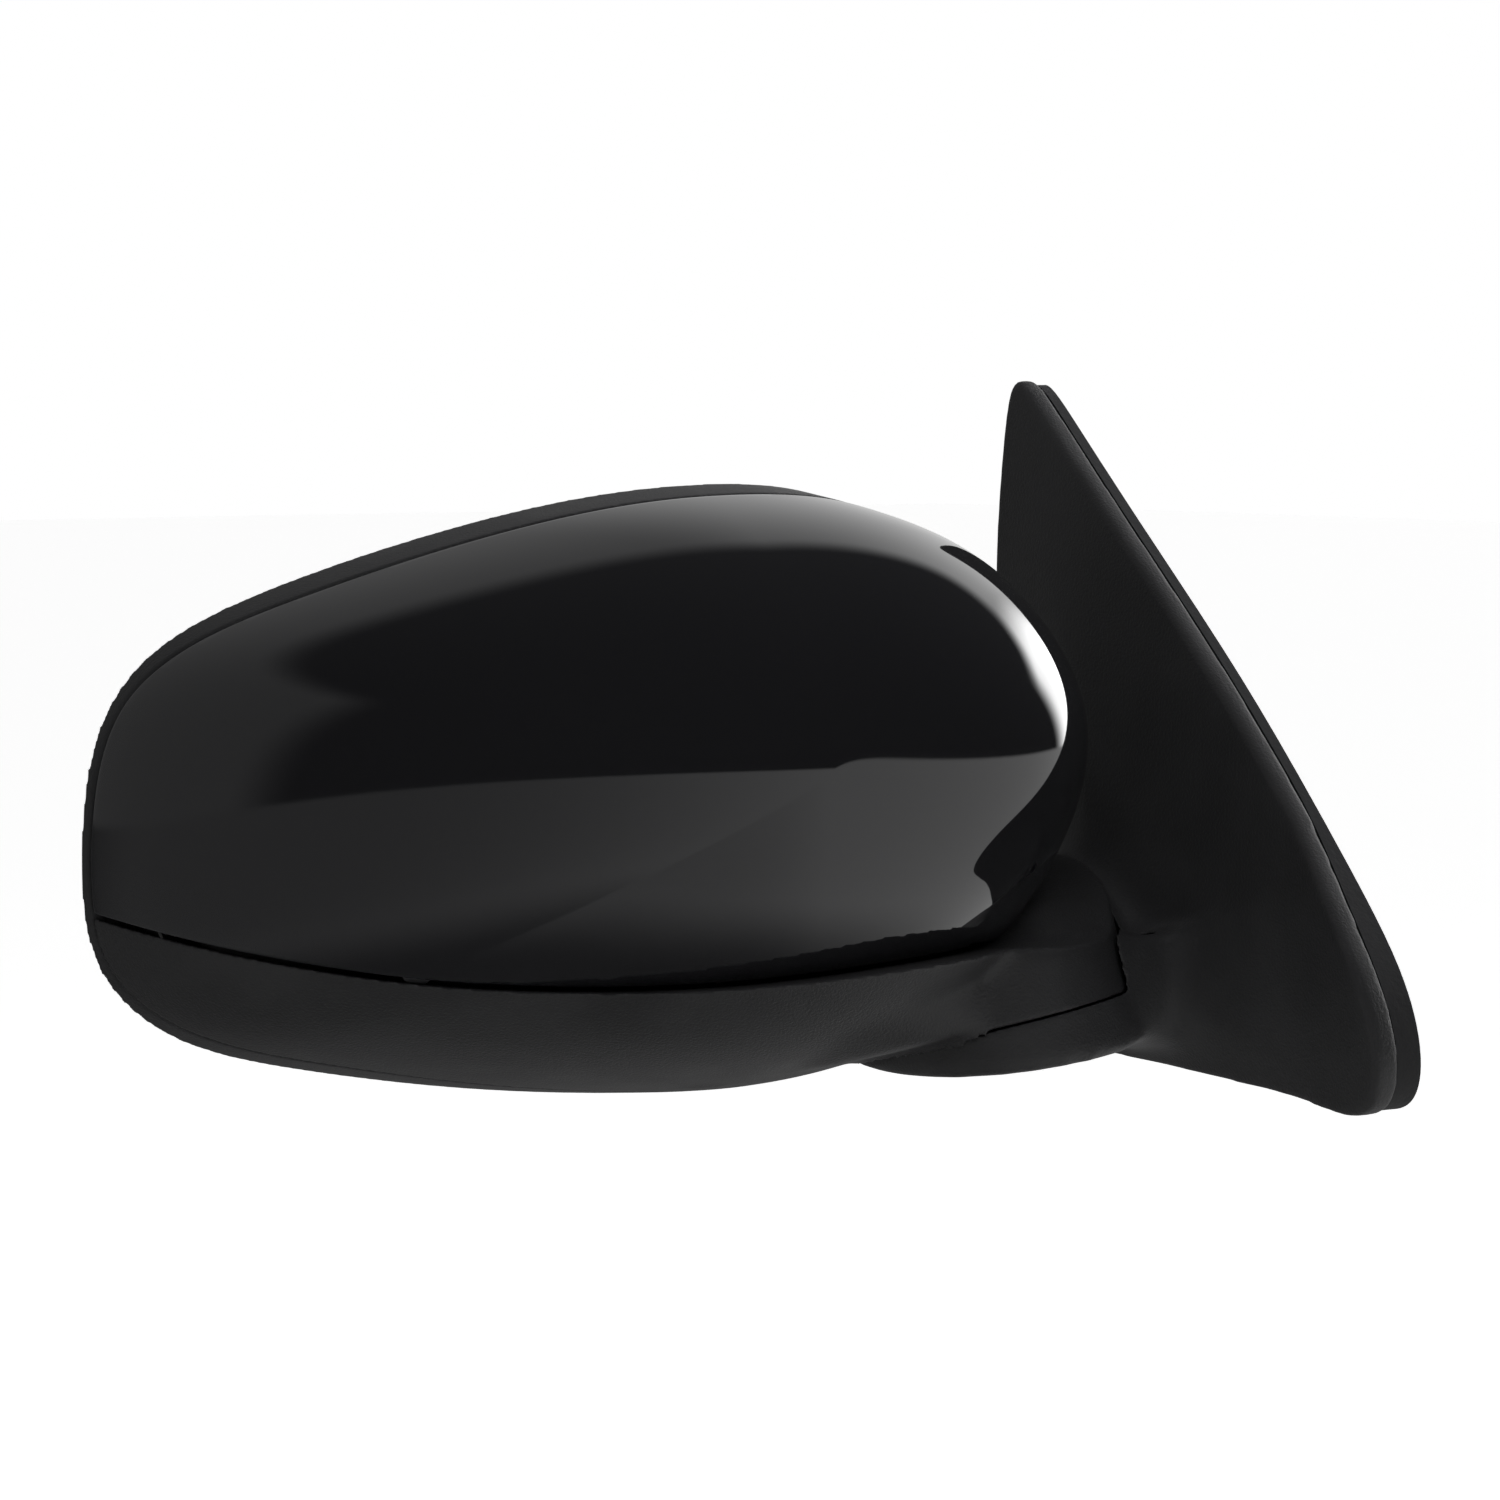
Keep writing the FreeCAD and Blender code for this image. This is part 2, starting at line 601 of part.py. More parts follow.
def thrust_washer():
    return onto_pivot(tube(12.2, POST_R + 0.05, Vec(0, 0, 1.4), Vec(0, 0, 2.4)))


def pivot_hub():
    """Hub that turns on the post, with arc slots over the stop lugs."""
    hub = fuse(rod(22.0, Vec(0, 0, 2.45), Vec(0, 0, 10)), rod(HUB_R, Vec(0, 0, 10), Vec(0, 0, HUB_TOP)))
    hub = hub.cut(rod(POST_R + 0.05, Vec(0, 0, 0), Vec(0, 0, 60)))
    for a in LUG_ANGLES:
        middle = a + (FOLD_REAR - FOLD_FRONT) / 2
        half = (FOLD_REAR + FOLD_FRONT) / 2 + LUG_HALF + 1.5
        hub = hub.cut(lug(12.6, 18.9, 2.0, 6.2, middle, half))
    return hub


def pivot_spring():
    mean, wire, turns, pitch = 9.0, 1.1, 4.0, 2.6
    helix = Part.makeHelix(pitch, pitch * turns, mean)
    section = Part.Wire(Part.makeCircle(wire, Vec(mean, 0, 0), Y))
    coil = Part.Wire(helix).makePipeShell([section], True, True)
    coil.translate(Vec(0, 0, HUB_TOP + 0.4))
    shelf = box(-30, 30, -30, 30, HUB_TOP + 0.1, 42.9)
    return onto_pivot(coil.common(shelf))


def spring_retainer():
    return onto_pivot(fuse(tube(HUB_R, POST_R, Vec(0, 0, 43.0), Vec(0, 0, 44.2)),
                           tube(POST_R, POST_R - 0.8, Vec(0, 0, 43.0), Vec(0, 0, 44.2))))


# ---------------------------------------------------------------- inside the head
def at_glass(x, t, z):
    """Point given from the centre of glass movement; t is measured in the head frame."""
    return Vec(GLASS_CENTRE[0] + x, t, GLASS_CENTRE[2] + z)


def around(x, z, radius, t0, t1):
    return rod(radius, at_glass(x, t0, z), at_glass(x, t1, z))


def glass_box(x0, x1, t0, t1, z0, z1):
    x, z = GLASS_CENTRE[0], GLASS_CENTRE[2]
    return box(x + x0, x + x1, t0, t1, z + z0, z + z1)


def frame_wire(grow, t):
    return grown_wire(FRAME_OUTLINE, grow, t)


def head_frame():
    plate = prism(frame_wire(0, -4), Vec(0, 3, 0))
    rim = prism(frame_wire(0, -9), Vec(0, 8, 0)).cut(prism(frame_wire(-2.5, -10), Vec(0, 20, 0)))
    hub = out_of_head(onto_pivot(pivot_hub()))
    ribs = [box(-60, -16, -16, -1, -16, -13), box(-60, -6, -16, -1, 6, 9),
            box(-62, -59, -12, -1, -30, 40)]
    body = fuse(plate, rim, *ribs).common(dome(head_point, WALL + 2.5))
    body = body.cut(dome(head_point).cut(dome(head_point, WALL)))
    body = body.cut(box(-12.4, 80, -60, 60, -90, 60).common(boss_top_below(-0.4)))
    body = body.cut(boss_body(23.0, -10, 11))
    body = body.cut(boss_body(HUB_R - 0.5, 0, 70))
    foot = boss_top_below(WALL + 1.5)
    web = box(-34, -4, -5, -1, -30, 0).common(foot)
    body = fuse(body, hub, web.cut(boss_body(HUB_R - 1.5, -10, 70)))
    body = body.cut(boss_body(POST_R + 0.05, -10, 70))
    body = body.cut(boss_body(HUB_R + 0.8, HUB_TOP, 70))
    body = body.cut(glass_box(-14, 12, -10, 5, -16, 16))
    for w, z in FRAME_SCREWS:
        body = body.cut(rod(2.1, Vec(-w, -20, z), Vec(-w, 20, z)))
        body = body.cut(rod(4.3, Vec(-w, -20, z), Vec(-w, -4, z)))
    for x, z in ACTUATOR_SCREWS:
        body = body.fuse(around(x, z, 4.0, -1.5, 0)).cut(around(x, z, 1.5, -10, 10))
    return into_head(body)


def screw(point, direction, head_r, head_h, shank_r, length):
    """Cross-recess screw; the point is under its head and the direction runs to its tip."""
    direction = Vec(direction).normalize()
    side = direction.cross(Z) if abs(direction.z) < 0.9 else direction.cross(X)
    side.normalize()
    other = direction.cross(side)
    shank = rod(shank_r, point, point + direction * length)
    body = rod(head_r, point - direction * head_h, point).fuse(shank)
    for a, b in ((side, other), (other, side)):
        start = point - direction * (head_h + 0.1) - a * (head_r * 0.6) - b * 0.45
        end = start + a * (head_r * 1.2)
        face = Part.Face(Part.makePolygon([start, end, end + b * 0.9, start + b * 0.9, start]))
        body = body.cut(face.extrude(direction * (head_h * 0.7)))
    return body


def frame_screws():
    return [into_head(screw(Vec(-w, -4, z), Y, 4.0, 2.2, 2.0, 16)) for w, z in FRAME_SCREWS]


def actuator_screws():
    made = [screw(at_glass(x, 2.0, z), Vec(0, -1, 0), 2.8, 1.8, 1.45, 7) for x, z in ACTUATOR_SCREWS]
    return [into_head(one) for one in made]


def actuator_base():
    tub = glass_box(-27, 46, 0, 13.9, -46, 27).cut(glass_box(-25, 44, 2, 20, -44, 25))
    for x, z in ACTUATOR_SCREWS:
        post = around(x, z, 3.6, 0, 2)
        tub = tub.fuse(post).cut(around(x, z, 1.5, -3, 10))
    for x, z in ((0, -PUSH_RADIUS), (PUSH_RADIUS, 0)):
        tub = tub.fuse(around(x, z, 8.0, 2, 7.4)).cut(around(x, z, 3.5, -3, 20))
    return into_head(tub)


def actuator_cover():
    lid = glass_box(-27, 46, 13.9, 16, -46, 27)
    post = around(0, 0, 5.5, 14, 27)
    pins = rod(2.0, at_glass(-12.4, GLASS_CENTRE[1], 0), at_glass(12.4, GLASS_CENTRE[1], 0))
    lid = fuse(lid, post, pins)
    for x, z in ((0, -PUSH_RADIUS), (PUSH_RADIUS, 0)):
        lid = lid.fuse(around(x, z, 5.2, 13.9, 16.4)).cut(around(x, z, 3.28, 10, 20))
    return into_head(lid)


def motor(x, z, along):
    """Flat-sided can motor lying along x (True) or z, with its boss and shaft."""
    direction = Vec(1, 0, 0) if along else Vec(0, 0, -1)
    start = at_glass(x, 8.0, z)
    can = rod(7.4, start, start + direction * 24)
    flats = box(-300, 100, 2.8, 13.2, -100, 100)
    shaft = rod(1.0, start, start + direction * 42)
    return fuse(can.common(flats), rod(3.0, start, start + direction * 25.2), shaft)


def tilt_motor():
    return into_head(motor(-WORM_OFFSET, 5.0, False))


def pan_motor():
    return into_head(motor(-5.0, WORM_OFFSET, True))


def worm(start, direction):
    """Worm on a motor shaft: core, helical thread and bore."""
    core = tube(2.2, 1.02, Vec(0, 0, 0), Vec(0, 0, 15))
    helix = Part.makeHelix(2.4, 12.0, 2.1)
    section = Part.Wire(Part.makePolygon([Vec(1.9, 0, -0.7), Vec(WORM_R, 0, -0.25), Vec(WORM_R, 0, 0.25),
                                          Vec(1.9, 0, 0.7), Vec(1.9, 0, -0.7)]))
    thread = Part.Wire(helix).makePipeShell([section], True, True)
    thread.translate(Vec(0, 0, 1.4))
    body = core.fuse(thread)
    body.Placement = FreeCAD.Placement(start, FreeCAD.Rotation(Z, direction)).multiply(body.Placement)
    return body


def tilt_worm():
    return into_head(worm(at_glass(-WORM_OFFSET, 8.0, -20.5 - 2.0), Vec(0, 0, -1)))


def pan_worm():
    return into_head(worm(at_glass(20.5 + 2.0, 8.0, WORM_OFFSET), Vec(1, 0, 0)))


def gear(x, z):
    """Nut wheel round a plunger."""
    points = []
    tooth = ((-0.28, GEAR_R - 1.4), (-0.12, GEAR_R), (0.12, GEAR_R), (0.28, GEAR_R - 1.4))
    for k in range(GEAR_TEETH):
        for share, radius in tooth:
            a = 2 * pi * (k + share) / GEAR_TEETH
            points.append(at_glass(x + radius * cos(a), 7.6, z + radius * sin(a)))
    wheel = Part.Face(Part.makePolygon(points + points[:1])).extrude(Vec(0, 4.4, 0))
    wheel = fuse(wheel, around(x, z, 5.4, 7.6, 13.4))
    return wheel.cut(around(x, z, 3.25, 0, 20))


def tilt_gear():
    return into_head(gear(0, -PUSH_RADIUS))


def pan_gear():
    return into_head(gear(PUSH_RADIUS, 0))


def plunger(x, z):
    """Threaded rod with a ball on its end; the thread is left as a plain round."""
    stem = around(x, z, 3.2, 7.2, 17.4)
    neck = around(x, z, 2.1, 17.4, GLASS_CENTRE[1])
    ball = Part.makeSphere(BALL_R, at_glass(x, GLASS_CENTRE[1], z))
    key = glass_box(x - 0.6, x + 0.6, 7.0, 8.6, z - 3.2, z + 3.2)
    return fuse(stem, neck, ball).cut(key)


def tilt_plunger():
    return into_head(plunger(0, -PUSH_RADIUS))


def pan_plunger():
    return into_head(plunger(PUSH_RADIUS, 0))


def gimbal_ring():
    t = GLASS_CENTRE[1]
    ring = around(0, 0, 13.0, t - 2.5, t + 2.5).cut(around(0, 0, 8.5, t - 5, t + 5))
    pins = [rod(2.0, at_glass(0, t, side * 10.0), at_glass(0, t, side * 17.2)) for side in (-1, 1)]
    ring = fuse(ring, *pins)
    return into_head(ring.cut(rod(2.05, at_glass(-20, t, 0), at_glass(20, t, 0))))


def glass_backing():
    t = GLASS_CENTRE[1]
    back = GLASS_FACE - GLASS_THICK - HEATER_THICK - BACKING_THICK
    plate = prism(glass_wire(-0.6, back), Vec(0, 0.8, 0))
    plate = plate.fuse(prism(glass_wire(1.6, back + 0.8), Vec(0, GLASS_FACE - 1.1 - back, 0)))
    plate = plate.cut(prism(glass_wire(0.05, back + BACKING_THICK), Vec(0, 20, 0)))
    skirt = around(0, 0, 17.4, 20, back).cut(around(0, 0, 14.4, 10, back))
    parts = [plate, skirt]
    for x, z in ((0, -PUSH_RADIUS), (PUSH_RADIUS, 0)):
        socket = around(x, z, 6.6, 21.2, back).cut(around(x, z, 4.9, 22.0, back - 3.0))
        socket = socket.cut(around(x, z, 3.8, 10, 25))
        parts.append(socket)
    for x0, x1, z0, z1 in ((-60, -18, -1, 1), (37, 62, -1, 1), (-1, 1, 18, 44), (-1, 1, -50, -37)):
        parts.append(glass_box(x0, x1, back - 3.0, back, z0, z1))
    body = fuse(*parts)
    body = body.cut(rod(2.05, at_glass(0, t, -19), at_glass(0, t, 19)).cut(around(0, 0, 14.0, 10, 40)))
    for x in (-8, 8):
        body = body.cut(glass_box(x + 40 - 3.6, x + 40 + 3.6, 20, back + BACKING_THICK + 0.1, -30, -26))
    return into_head(body)


def heater_pad():
    back = GLASS_FACE - GLASS_THICK - HEATER_THICK
    return into_head(prism(glass_wire(0, back), Vec(0, HEATER_THICK, 0)))


def mirror_glass():
    return into_head(prism(glass_wire(0, GLASS_FACE - GLASS_THICK), Vec(0, GLASS_THICK, 0)))


def heater_terminals():
    """Two flat tabs of the heater, standing out through the backing plate."""
    back = GLASS_FACE - GLASS_THICK - HEATER_THICK
    tabs = []
    for x in (-8, 8):
        foot = glass_box(x + 40 - 3.15, x + 40 + 3.15, back - 0.8, back, -29.6, -26.4)
        blade = glass_box(x + 40 - 3.15, x + 40 + 3.15, back - 8.2, back, -28.4, -27.6)
        tabs.append(into_head(foot.fuse(blade)))
    return tabs


def connector_inlet():
    """Three-pin socket on the front of the actuator tub, where the wires plug in."""
    shell = glass_box(-9, 7, -9, 0, -6, 6).cut(glass_box(-7.5, 5.5, -10, -1.5, -4.5, 4.5))
    for x in (-5, -1, 3):
        shell = shell.fuse(glass_box(x - 0.4, x + 0.4, -7.5, 0, -0.6, 0.6))
    return into_head(shell)


PIECES = [
    front_cap, rear_housing, lower_housing, sail_cover, base_gasket, base_casting, mounting_studs,
    cover_screws, wire_grommet, pivot_post, stop_ring, thrust_washer, pivot_spring,
    spring_retainer, head_frame, frame_screws, actuator_base, actuator_cover, actuator_screws,
    tilt_motor, pan_motor, tilt_worm, pan_worm, tilt_gear, pan_gear, tilt_plunger, pan_plunger,
    gimbal_ring, glass_backing, heater_pad, mirror_glass, heater_terminals, connector_inlet]


def main():
    os.makedirs("parts", exist_ok=True)
    for make in PIECES:
        made = make()
        save(make.__name__, *(made if isinstance(made, list) else [made]))


if __name__ == "__main__":
    main()
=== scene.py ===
"""Looks of the passenger-side door mirror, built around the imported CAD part."""
from math import cos, pi, radians, sin

import bmesh
import bpy
import numpy as np
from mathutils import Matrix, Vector


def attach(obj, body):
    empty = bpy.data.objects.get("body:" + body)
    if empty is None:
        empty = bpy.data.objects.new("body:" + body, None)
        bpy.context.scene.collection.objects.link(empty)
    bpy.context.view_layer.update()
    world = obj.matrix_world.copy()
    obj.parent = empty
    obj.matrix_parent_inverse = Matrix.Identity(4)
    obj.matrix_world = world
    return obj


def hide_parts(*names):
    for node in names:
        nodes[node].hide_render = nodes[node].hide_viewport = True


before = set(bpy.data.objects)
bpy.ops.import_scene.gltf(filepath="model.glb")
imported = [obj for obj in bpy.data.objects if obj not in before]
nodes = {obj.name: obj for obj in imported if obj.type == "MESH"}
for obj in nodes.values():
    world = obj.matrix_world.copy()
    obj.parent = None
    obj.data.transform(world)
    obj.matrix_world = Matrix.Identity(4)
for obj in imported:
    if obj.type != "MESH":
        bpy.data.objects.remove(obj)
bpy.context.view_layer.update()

# ---------------------------------------------------------------- named sizes, millimetres
MM = 0.001
FOLD_POINT = np.array([-50.0, -8.0, -39.0])   # on the fold axis, in the parting plane
FOLD_LEAN = (-0.158, 0.184)  # how far the axis leans across and rearward for each unit up
FOLD_UP = np.array([*FOLD_LEAN, 1.0]) / np.linalg.norm([*FOLD_LEAN, 1.0])
ARM_FROM, ARM_TO = -105, 106  # degrees round the fold axis taken by the arm
HEAD_SWEEP = radians(12.0)  # the head points this far rearward of straight out
WALL = 2.6                 # thickness of the shells
PANEL_GAP = 0.8            # between cap and its neighbours
REAR_PLANE = 40.0          # rear edge of the head's form, rearward of the fold axis
BOSS_R = 32.0              # fold boss
BAR_R = 32.1               # the cuts of the head stop here and those of the boss begin
COLUMN_R = 32.7            # boss and foot in the common form, before it is smoothed
BORE_R = 32.9              # what the arm's shell leaves free round the boss
UNDERCUT_R = 32.95         # what the lower shell leaves free over the foot
HUB_ROOM_R, HUB_BORE_R = 24.0, 10.9  # openings in the boss for the pivot hub
UNDERSIDE = ([-90, -50, -30, 10], [-50.5, -45.2, -43.6, -43.6])  # of the foot (across, height)
CROWN = (62.0, 22.0)       # foremost point of the head (across, height)
CROWN_REACH = (120.0, 70.0)  # half-widths of the ellipse that rounds the crown
FRONT_PLANE = -48.0        # foremost point of the form, rearward of the fold axis
FULLNESS = (-0.25, 0.8, 0.0, 0.9)  # outboard, inboard, upward, downward
DOME_SHARE = 0.985         # where the dome's curve is cut off, so that its rim isn't square
HEAD_MIDDLE = np.array([-90.0, 20, 5])
FOOT_IN = 30.0             # inner radius of the foot's wall
EDGE_R = 0.7               # rounding of the cap's edge
STUD_PITCH, STUD_LENGTH, STUD_NECK = 1.0, 22.0, 3.0
STUD_COLLAR_R, STUD_NECK_R, THREAD_R, THREAD_DEPTH = 3.4, 2.95, 2.99, 0.6
STUDS = [(-56.0, -32.0), (28.0, 56.0), (28.0, -30.0)]

HEAD_OUTLINE = [
    (204.5, 12), (201, 33), (188, 50), (160, 62), (124, 73), (85, 82), (45, 85), (6, 80),
    (-17, 60), (-29, 34), (-22, 8), (-11, -18), (6, -43), (36, -57), (75, -57), (115, -54),
    (152, -48), (184, -41), (201.5, -25), (205, -7)]
# height of the joint between cap and lower housing (across, height)
SEAM = [
    (225, -4), (208, -9), (194, -13.4), (176, -17.8), (162, -20.4), (144, -23), (118, -24.8),
    (85, -24.5), (60, -22.7), (42, -21.1), (15, -19.2), (0, -18.6), (-15, -18.2), (-45, -17.8)]
# how far back the cap reaches (across, rearward)
CAP_EDGE = [
    (-45, 25), (0, 25), (60, 24), (120, 25), (160, 28), (185, 33), (197, 36.5), (225, 37.5)]
# how far the lower housing stands out in front of the cap (across, step)
LEDGE = [
    (-40, 8.0), (0, 8.5), (20, 9.0), (40, 8.5), (80, 6.0), (120, 2.8), (150, 1.0), (230, 0.5)]
GLASS_OUTLINE = [
    (191, 8), (188.5, 30), (174, 45), (148, 57), (113, 67), (80, 74), (48, 75), (29, 66),
    (23, 40), (22, 8), (24, -22), (31, -42), (52, -49), (86, -49), (120, -45), (152, -38),
    (178, -29), (189, -12)]
# top of the fold boss (rearward, height)
BOSS_TOP = [
    (-60, -18), (-34, -18.5), (-25, -19.2), (-18, -16.6), (-12, -11.6), (-4, -7.6), (6, -4.0),
    (20, -2), (40, -1)]


# ---------------------------------------------------------------- form of the head
def smooth(x):
    """Smooth step from 0 to 1."""
    x = np.clip(x, 0.0, 1.0)
    return x * x * (3 - 2 * x)


def closed_curve(points, u):
    """Points at u (0 to 1) on the smooth closed curve steered by the control points."""
    points = np.array(points, float)
    n = len(points)
    place = (u % 1.0) * n
    i = place.astype(int) % n
    f = (place - place.astype(int))[:, None]
    weights = ((1 - f) ** 3 / 6, (3 * f ** 3 - 6 * f ** 2 + 4) / 6,
               (-3 * f ** 3 + 3 * f ** 2 + 3 * f + 1) / 6, f ** 3 / 6)
    return sum(weights[k] * points[(i + k - 1) % n] for k in range(4))


def natural_curve(table, x):
    """Smooth value at x through a table of (x, value)."""
    table = sorted(table)
    xs, ys = np.array([p[0] for p in table], float), np.array([p[1] for p in table], float)
    slopes = np.gradient(ys, xs)
    x = np.clip(x, xs[0], xs[-1])
    i = np.clip(np.searchsorted(xs, x) - 1, 0, len(xs) - 2)
    h = xs[i + 1] - xs[i]
    f = (x - xs[i]) / h
    return ((1 + 2 * f) * (1 - f) ** 2 * ys[i] + f * (1 - f) ** 2 * h * slopes[i]
            + f * f * (3 - 2 * f) * ys[i + 1] + f * f * (f - 1) * h * slopes[i + 1])


def head_points(u, rho):
    """The head's outer form in the head frame: rho 0 is its front, 1 its rear edge."""
    outline = closed_curve(HEAD_OUTLINE, u)
    dx, dz = outline[:, 0] - CROWN[0], outline[:, 1] - CROWN[1]
    reach = np.hypot(dx, dz)
    cx, cz = dx / reach, dz / reach
    inner = CROWN_REACH[0] * CROWN_REACH[1] / np.hypot(CROWN_REACH[1] * cx, CROWN_REACH[0] * cz)
    radius = rho * (inner + (reach - inner) * rho ** 1.5)
    sideways = np.where(cx > 0, FULLNESS[0], FULLNESS[1])
    upright = np.where(cz > 0, FULLNESS[2], FULLNESS[3])
    fullness = sideways * cx * cx + upright * cz * cz
    p = 2.0 + fullness * rho
    q = 2.0 + 0.8 * np.maximum(0.0, fullness)
    fall = 1 - (1 - (DOME_SHARE * rho) ** q) ** (1 / p)
    fall = fall / (1 - (1 - DOME_SHARE ** q) ** (1 / p))
    back = FRONT_PLANE + (REAR_PLANE - FRONT_PLANE) * fall
    w = CROWN[0] + radius * cx
    w = w + 15 * smooth(back / 42) * smooth((60 - w) / 80)
    return np.stack([-w, back, CROWN[1] + radius * cz], axis=1)


def head_to_row(points):
    """From the head frame to the part's shared frame, here called the row frame."""
    c, s = cos(HEAD_SWEEP), sin(HEAD_SWEEP)
    x, y, z = points.T
    return np.stack([FOLD_POINT[0] + x * c + y * s, FOLD_POINT[1] - x * s + y * c, z], axis=1)


def row_to_head(points):
    """From the row frame back to the head frame."""
    c, s = cos(HEAD_SWEEP), sin(HEAD_SWEEP)
    x, y, z = points[:, 0] - FOLD_POINT[0], points[:, 1] - FOLD_POINT[1], points[:, 2]
    return np.stack([x * c - y * s, x * s + y * c, z], axis=1)


# ---------------------------------------------------------------- meshes
def placed(name, data):
    """New object in the scene."""
    obj = bpy.data.objects.new(name, data)
    bpy.context.scene.collection.objects.link(obj)
    return obj


def new_object(name, verts, faces, material, shade=True):
    """Mesh object from points in millimetres in the row frame."""
    mesh = bpy.data.meshes.new(name)
    mesh.from_pydata([tuple(v) for v in np.asarray(verts, float) * MM], [], [tuple(f) for f in faces])
    mesh.validate()
    obj = placed(name, mesh)
    mesh.polygons.foreach_set("use_smooth", [shade] * len(mesh.polygons))
    mesh.materials.append(material)
    return obj


def clip(verts, faces, values):
    """Keeps the part of a mesh where the values at its points are positive."""
    verts = [np.asarray(v) for v in verts]
    made, kept = {}, []
    for face in faces:
        signs = [values[i] > 0 for i in face]
        if all(signs):
            kept.append(list(face))
            continue
        if not any(signs):
            continue
        ring = []
        for k, i in enumerate(face):
            j = face[(k + 1) % len(face)]
            if values[i] > 0:
                ring.append(i)
            if (values[i] > 0) != (values[j] > 0):
                key = (min(i, j), max(i, j))
                if key not in made:
                    f = values[i] / (values[i] - values[j])
                    made[key] = len(verts)
                    verts.append(verts[i] + (verts[j] - verts[i]) * f)
                ring.append(made[key])
        if len(ring) > 2:
            kept.append(ring)
    used = sorted({i for face in kept for i in face})
    place = {i: k for k, i in enumerate(used)}
    return np.array([verts[i] for i in used]), [[place[i] for i in face] for face in kept]


def weld(verts, faces, limit=0.05):
    """Joins points closer than the limit and drops faces that vanish."""
    keys = {}
    place = []
    for v in verts:
        key = tuple(np.round(v / limit).astype(int))
        place.append(keys.setdefault(key, len(keys)))
    points = np.zeros((len(keys), 3))
    points[place] = verts
    kept = []
    for face in faces:
        ring = [place[i] for i in face]
        ring = [a for k, a in enumerate(ring) if a != ring[k - 1]]
        if len(set(ring)) > 2:
            kept.append(ring)
    return points, kept


def boundary_loops(faces):
    """Ordered rings of points round the open edges, with the surface on their left."""
    edges = {}
    for face in faces:
        for k, i in enumerate(face):
            j = face[(k + 1) % len(face)]
            edges[(i, j)] = True
    following = {i: j for (i, j) in edges if (j, i) not in edges}
    loops = []
    while following:
        start, ring = next(iter(following)), []
        here = start
        while here in following:
            ring.append(here)
            here = following.pop(here)
        loops.append(ring)
    return loops


def point_normals(verts, faces):
    """Outward direction at each point."""
    normals = np.zeros((len(verts), 3))
    for face in faces:
        a, b, c = verts[face[0]], verts[face[1]], verts[face[2]]
        n = np.cross(b - a, c - a)
        if len(face) > 3:
            n = n + np.cross(c - a, verts[face[3]] - a)
        for i in face:
            normals[i] += n
    return normals / np.maximum(np.linalg.norm(normals, axis=1), 1e-12)[:, None]


def roll_edges(verts, faces, radius, depth):
    """Rounds the open edges inward and runs a flange of the given depth behind them."""
    normals = point_normals(verts, faces)
    verts, faces = list(verts), [list(f) for f in faces]
    for ring in boundary_loops(faces):
        p = np.array([verts[i] for i in ring])
        n = np.array([normals[i] for i in ring])
        along = np.roll(p, -1, axis=0) - np.roll(p, 1, axis=0)
        out = np.cross(along, n)
        out /= np.maximum(np.linalg.norm(out, axis=1), 1e-9)[:, None]
        for _ in range(3):
            out = out * 2 + np.roll(out, 1, axis=0) + np.roll(out, -1, axis=0)
            out /= np.linalg.norm(out, axis=1)[:, None]
        rows = [list(ring)]
        steps = [(sin(a), 1 - cos(a), 0.0) for a in (radians(d) for d in (18, 36, 54, 72, 90))]
        steps += [(1.0, 1.0, depth * 0.3), (1.0, 1.0, depth)]
        for a, b, c in steps:
            first = len(verts)
            verts.extend(p + out * radius * a - n * (radius * b + c))
            rows.append(list(range(first, first + len(ring))))
        count = len(ring)
        for upper, lower in zip(rows, rows[1:]):
            for k in range(count):
                m = (k + 1) % count
                faces.append([upper[m], upper[k], lower[k], lower[m]])
    return np.array(verts), faces


def head_grid(around, out):
    """Closed front of the head's form as points and faces."""
    u = np.arange(around) / around
    rhos = (np.arange(1, out + 1) / out) ** 0.9
    points = [head_points(np.zeros(1), np.array([1e-5]))]
    for rho in rhos:
        points.append(head_points(u, np.full(around, rho)))
    faces = [[0, 1 + (i + 1) % around, 1 + i] for i in range(around)]
    for r in range(out - 1):
        for i in range(around):
            j = (i + 1) % around
            a, b = 1 + r * around, 1 + (r + 1) * around
            faces.append([a + i, a + j, b + j, b + i])
    return np.concatenate(points), faces


def make_cap(material):
    """Painted cap with rounded edges, a flange behind them and a plain inner face."""
    verts, faces = head_grid(540, 150)
    for field in (lambda p: p[:, 2] - natural_curve(SEAM, -p[:, 0]) - PANEL_GAP - EDGE_R,
                  lambda p: natural_curve(CAP_EDGE, -p[:, 0]) - PANEL_GAP - EDGE_R - p[:, 1], over_boss):
        verts, faces = clip(verts, faces, field(verts))
    verts, faces = weld(verts, faces)
    verts, faces = roll_edges(verts, faces, EDGE_R, WALL - EDGE_R)
    return new_object("cap_shell", head_to_row(verts), faces, material)


def from_axis(points):
    """Distance from the fold axis."""
    rel = points - FOLD_POINT
    height = rel @ FOLD_UP
    return np.linalg.norm(rel - height[:, None] * FOLD_UP, axis=1)


def over_boss(p):
    """Positive where the cap clears the top of the fold boss."""
    row = head_to_row(p)
    above = row[:, 2] - natural_curve(BOSS_TOP, row[:, 1]) - PANEL_GAP - EDGE_R
    return np.maximum(above, from_axis(row) - BOSS_R - 4)


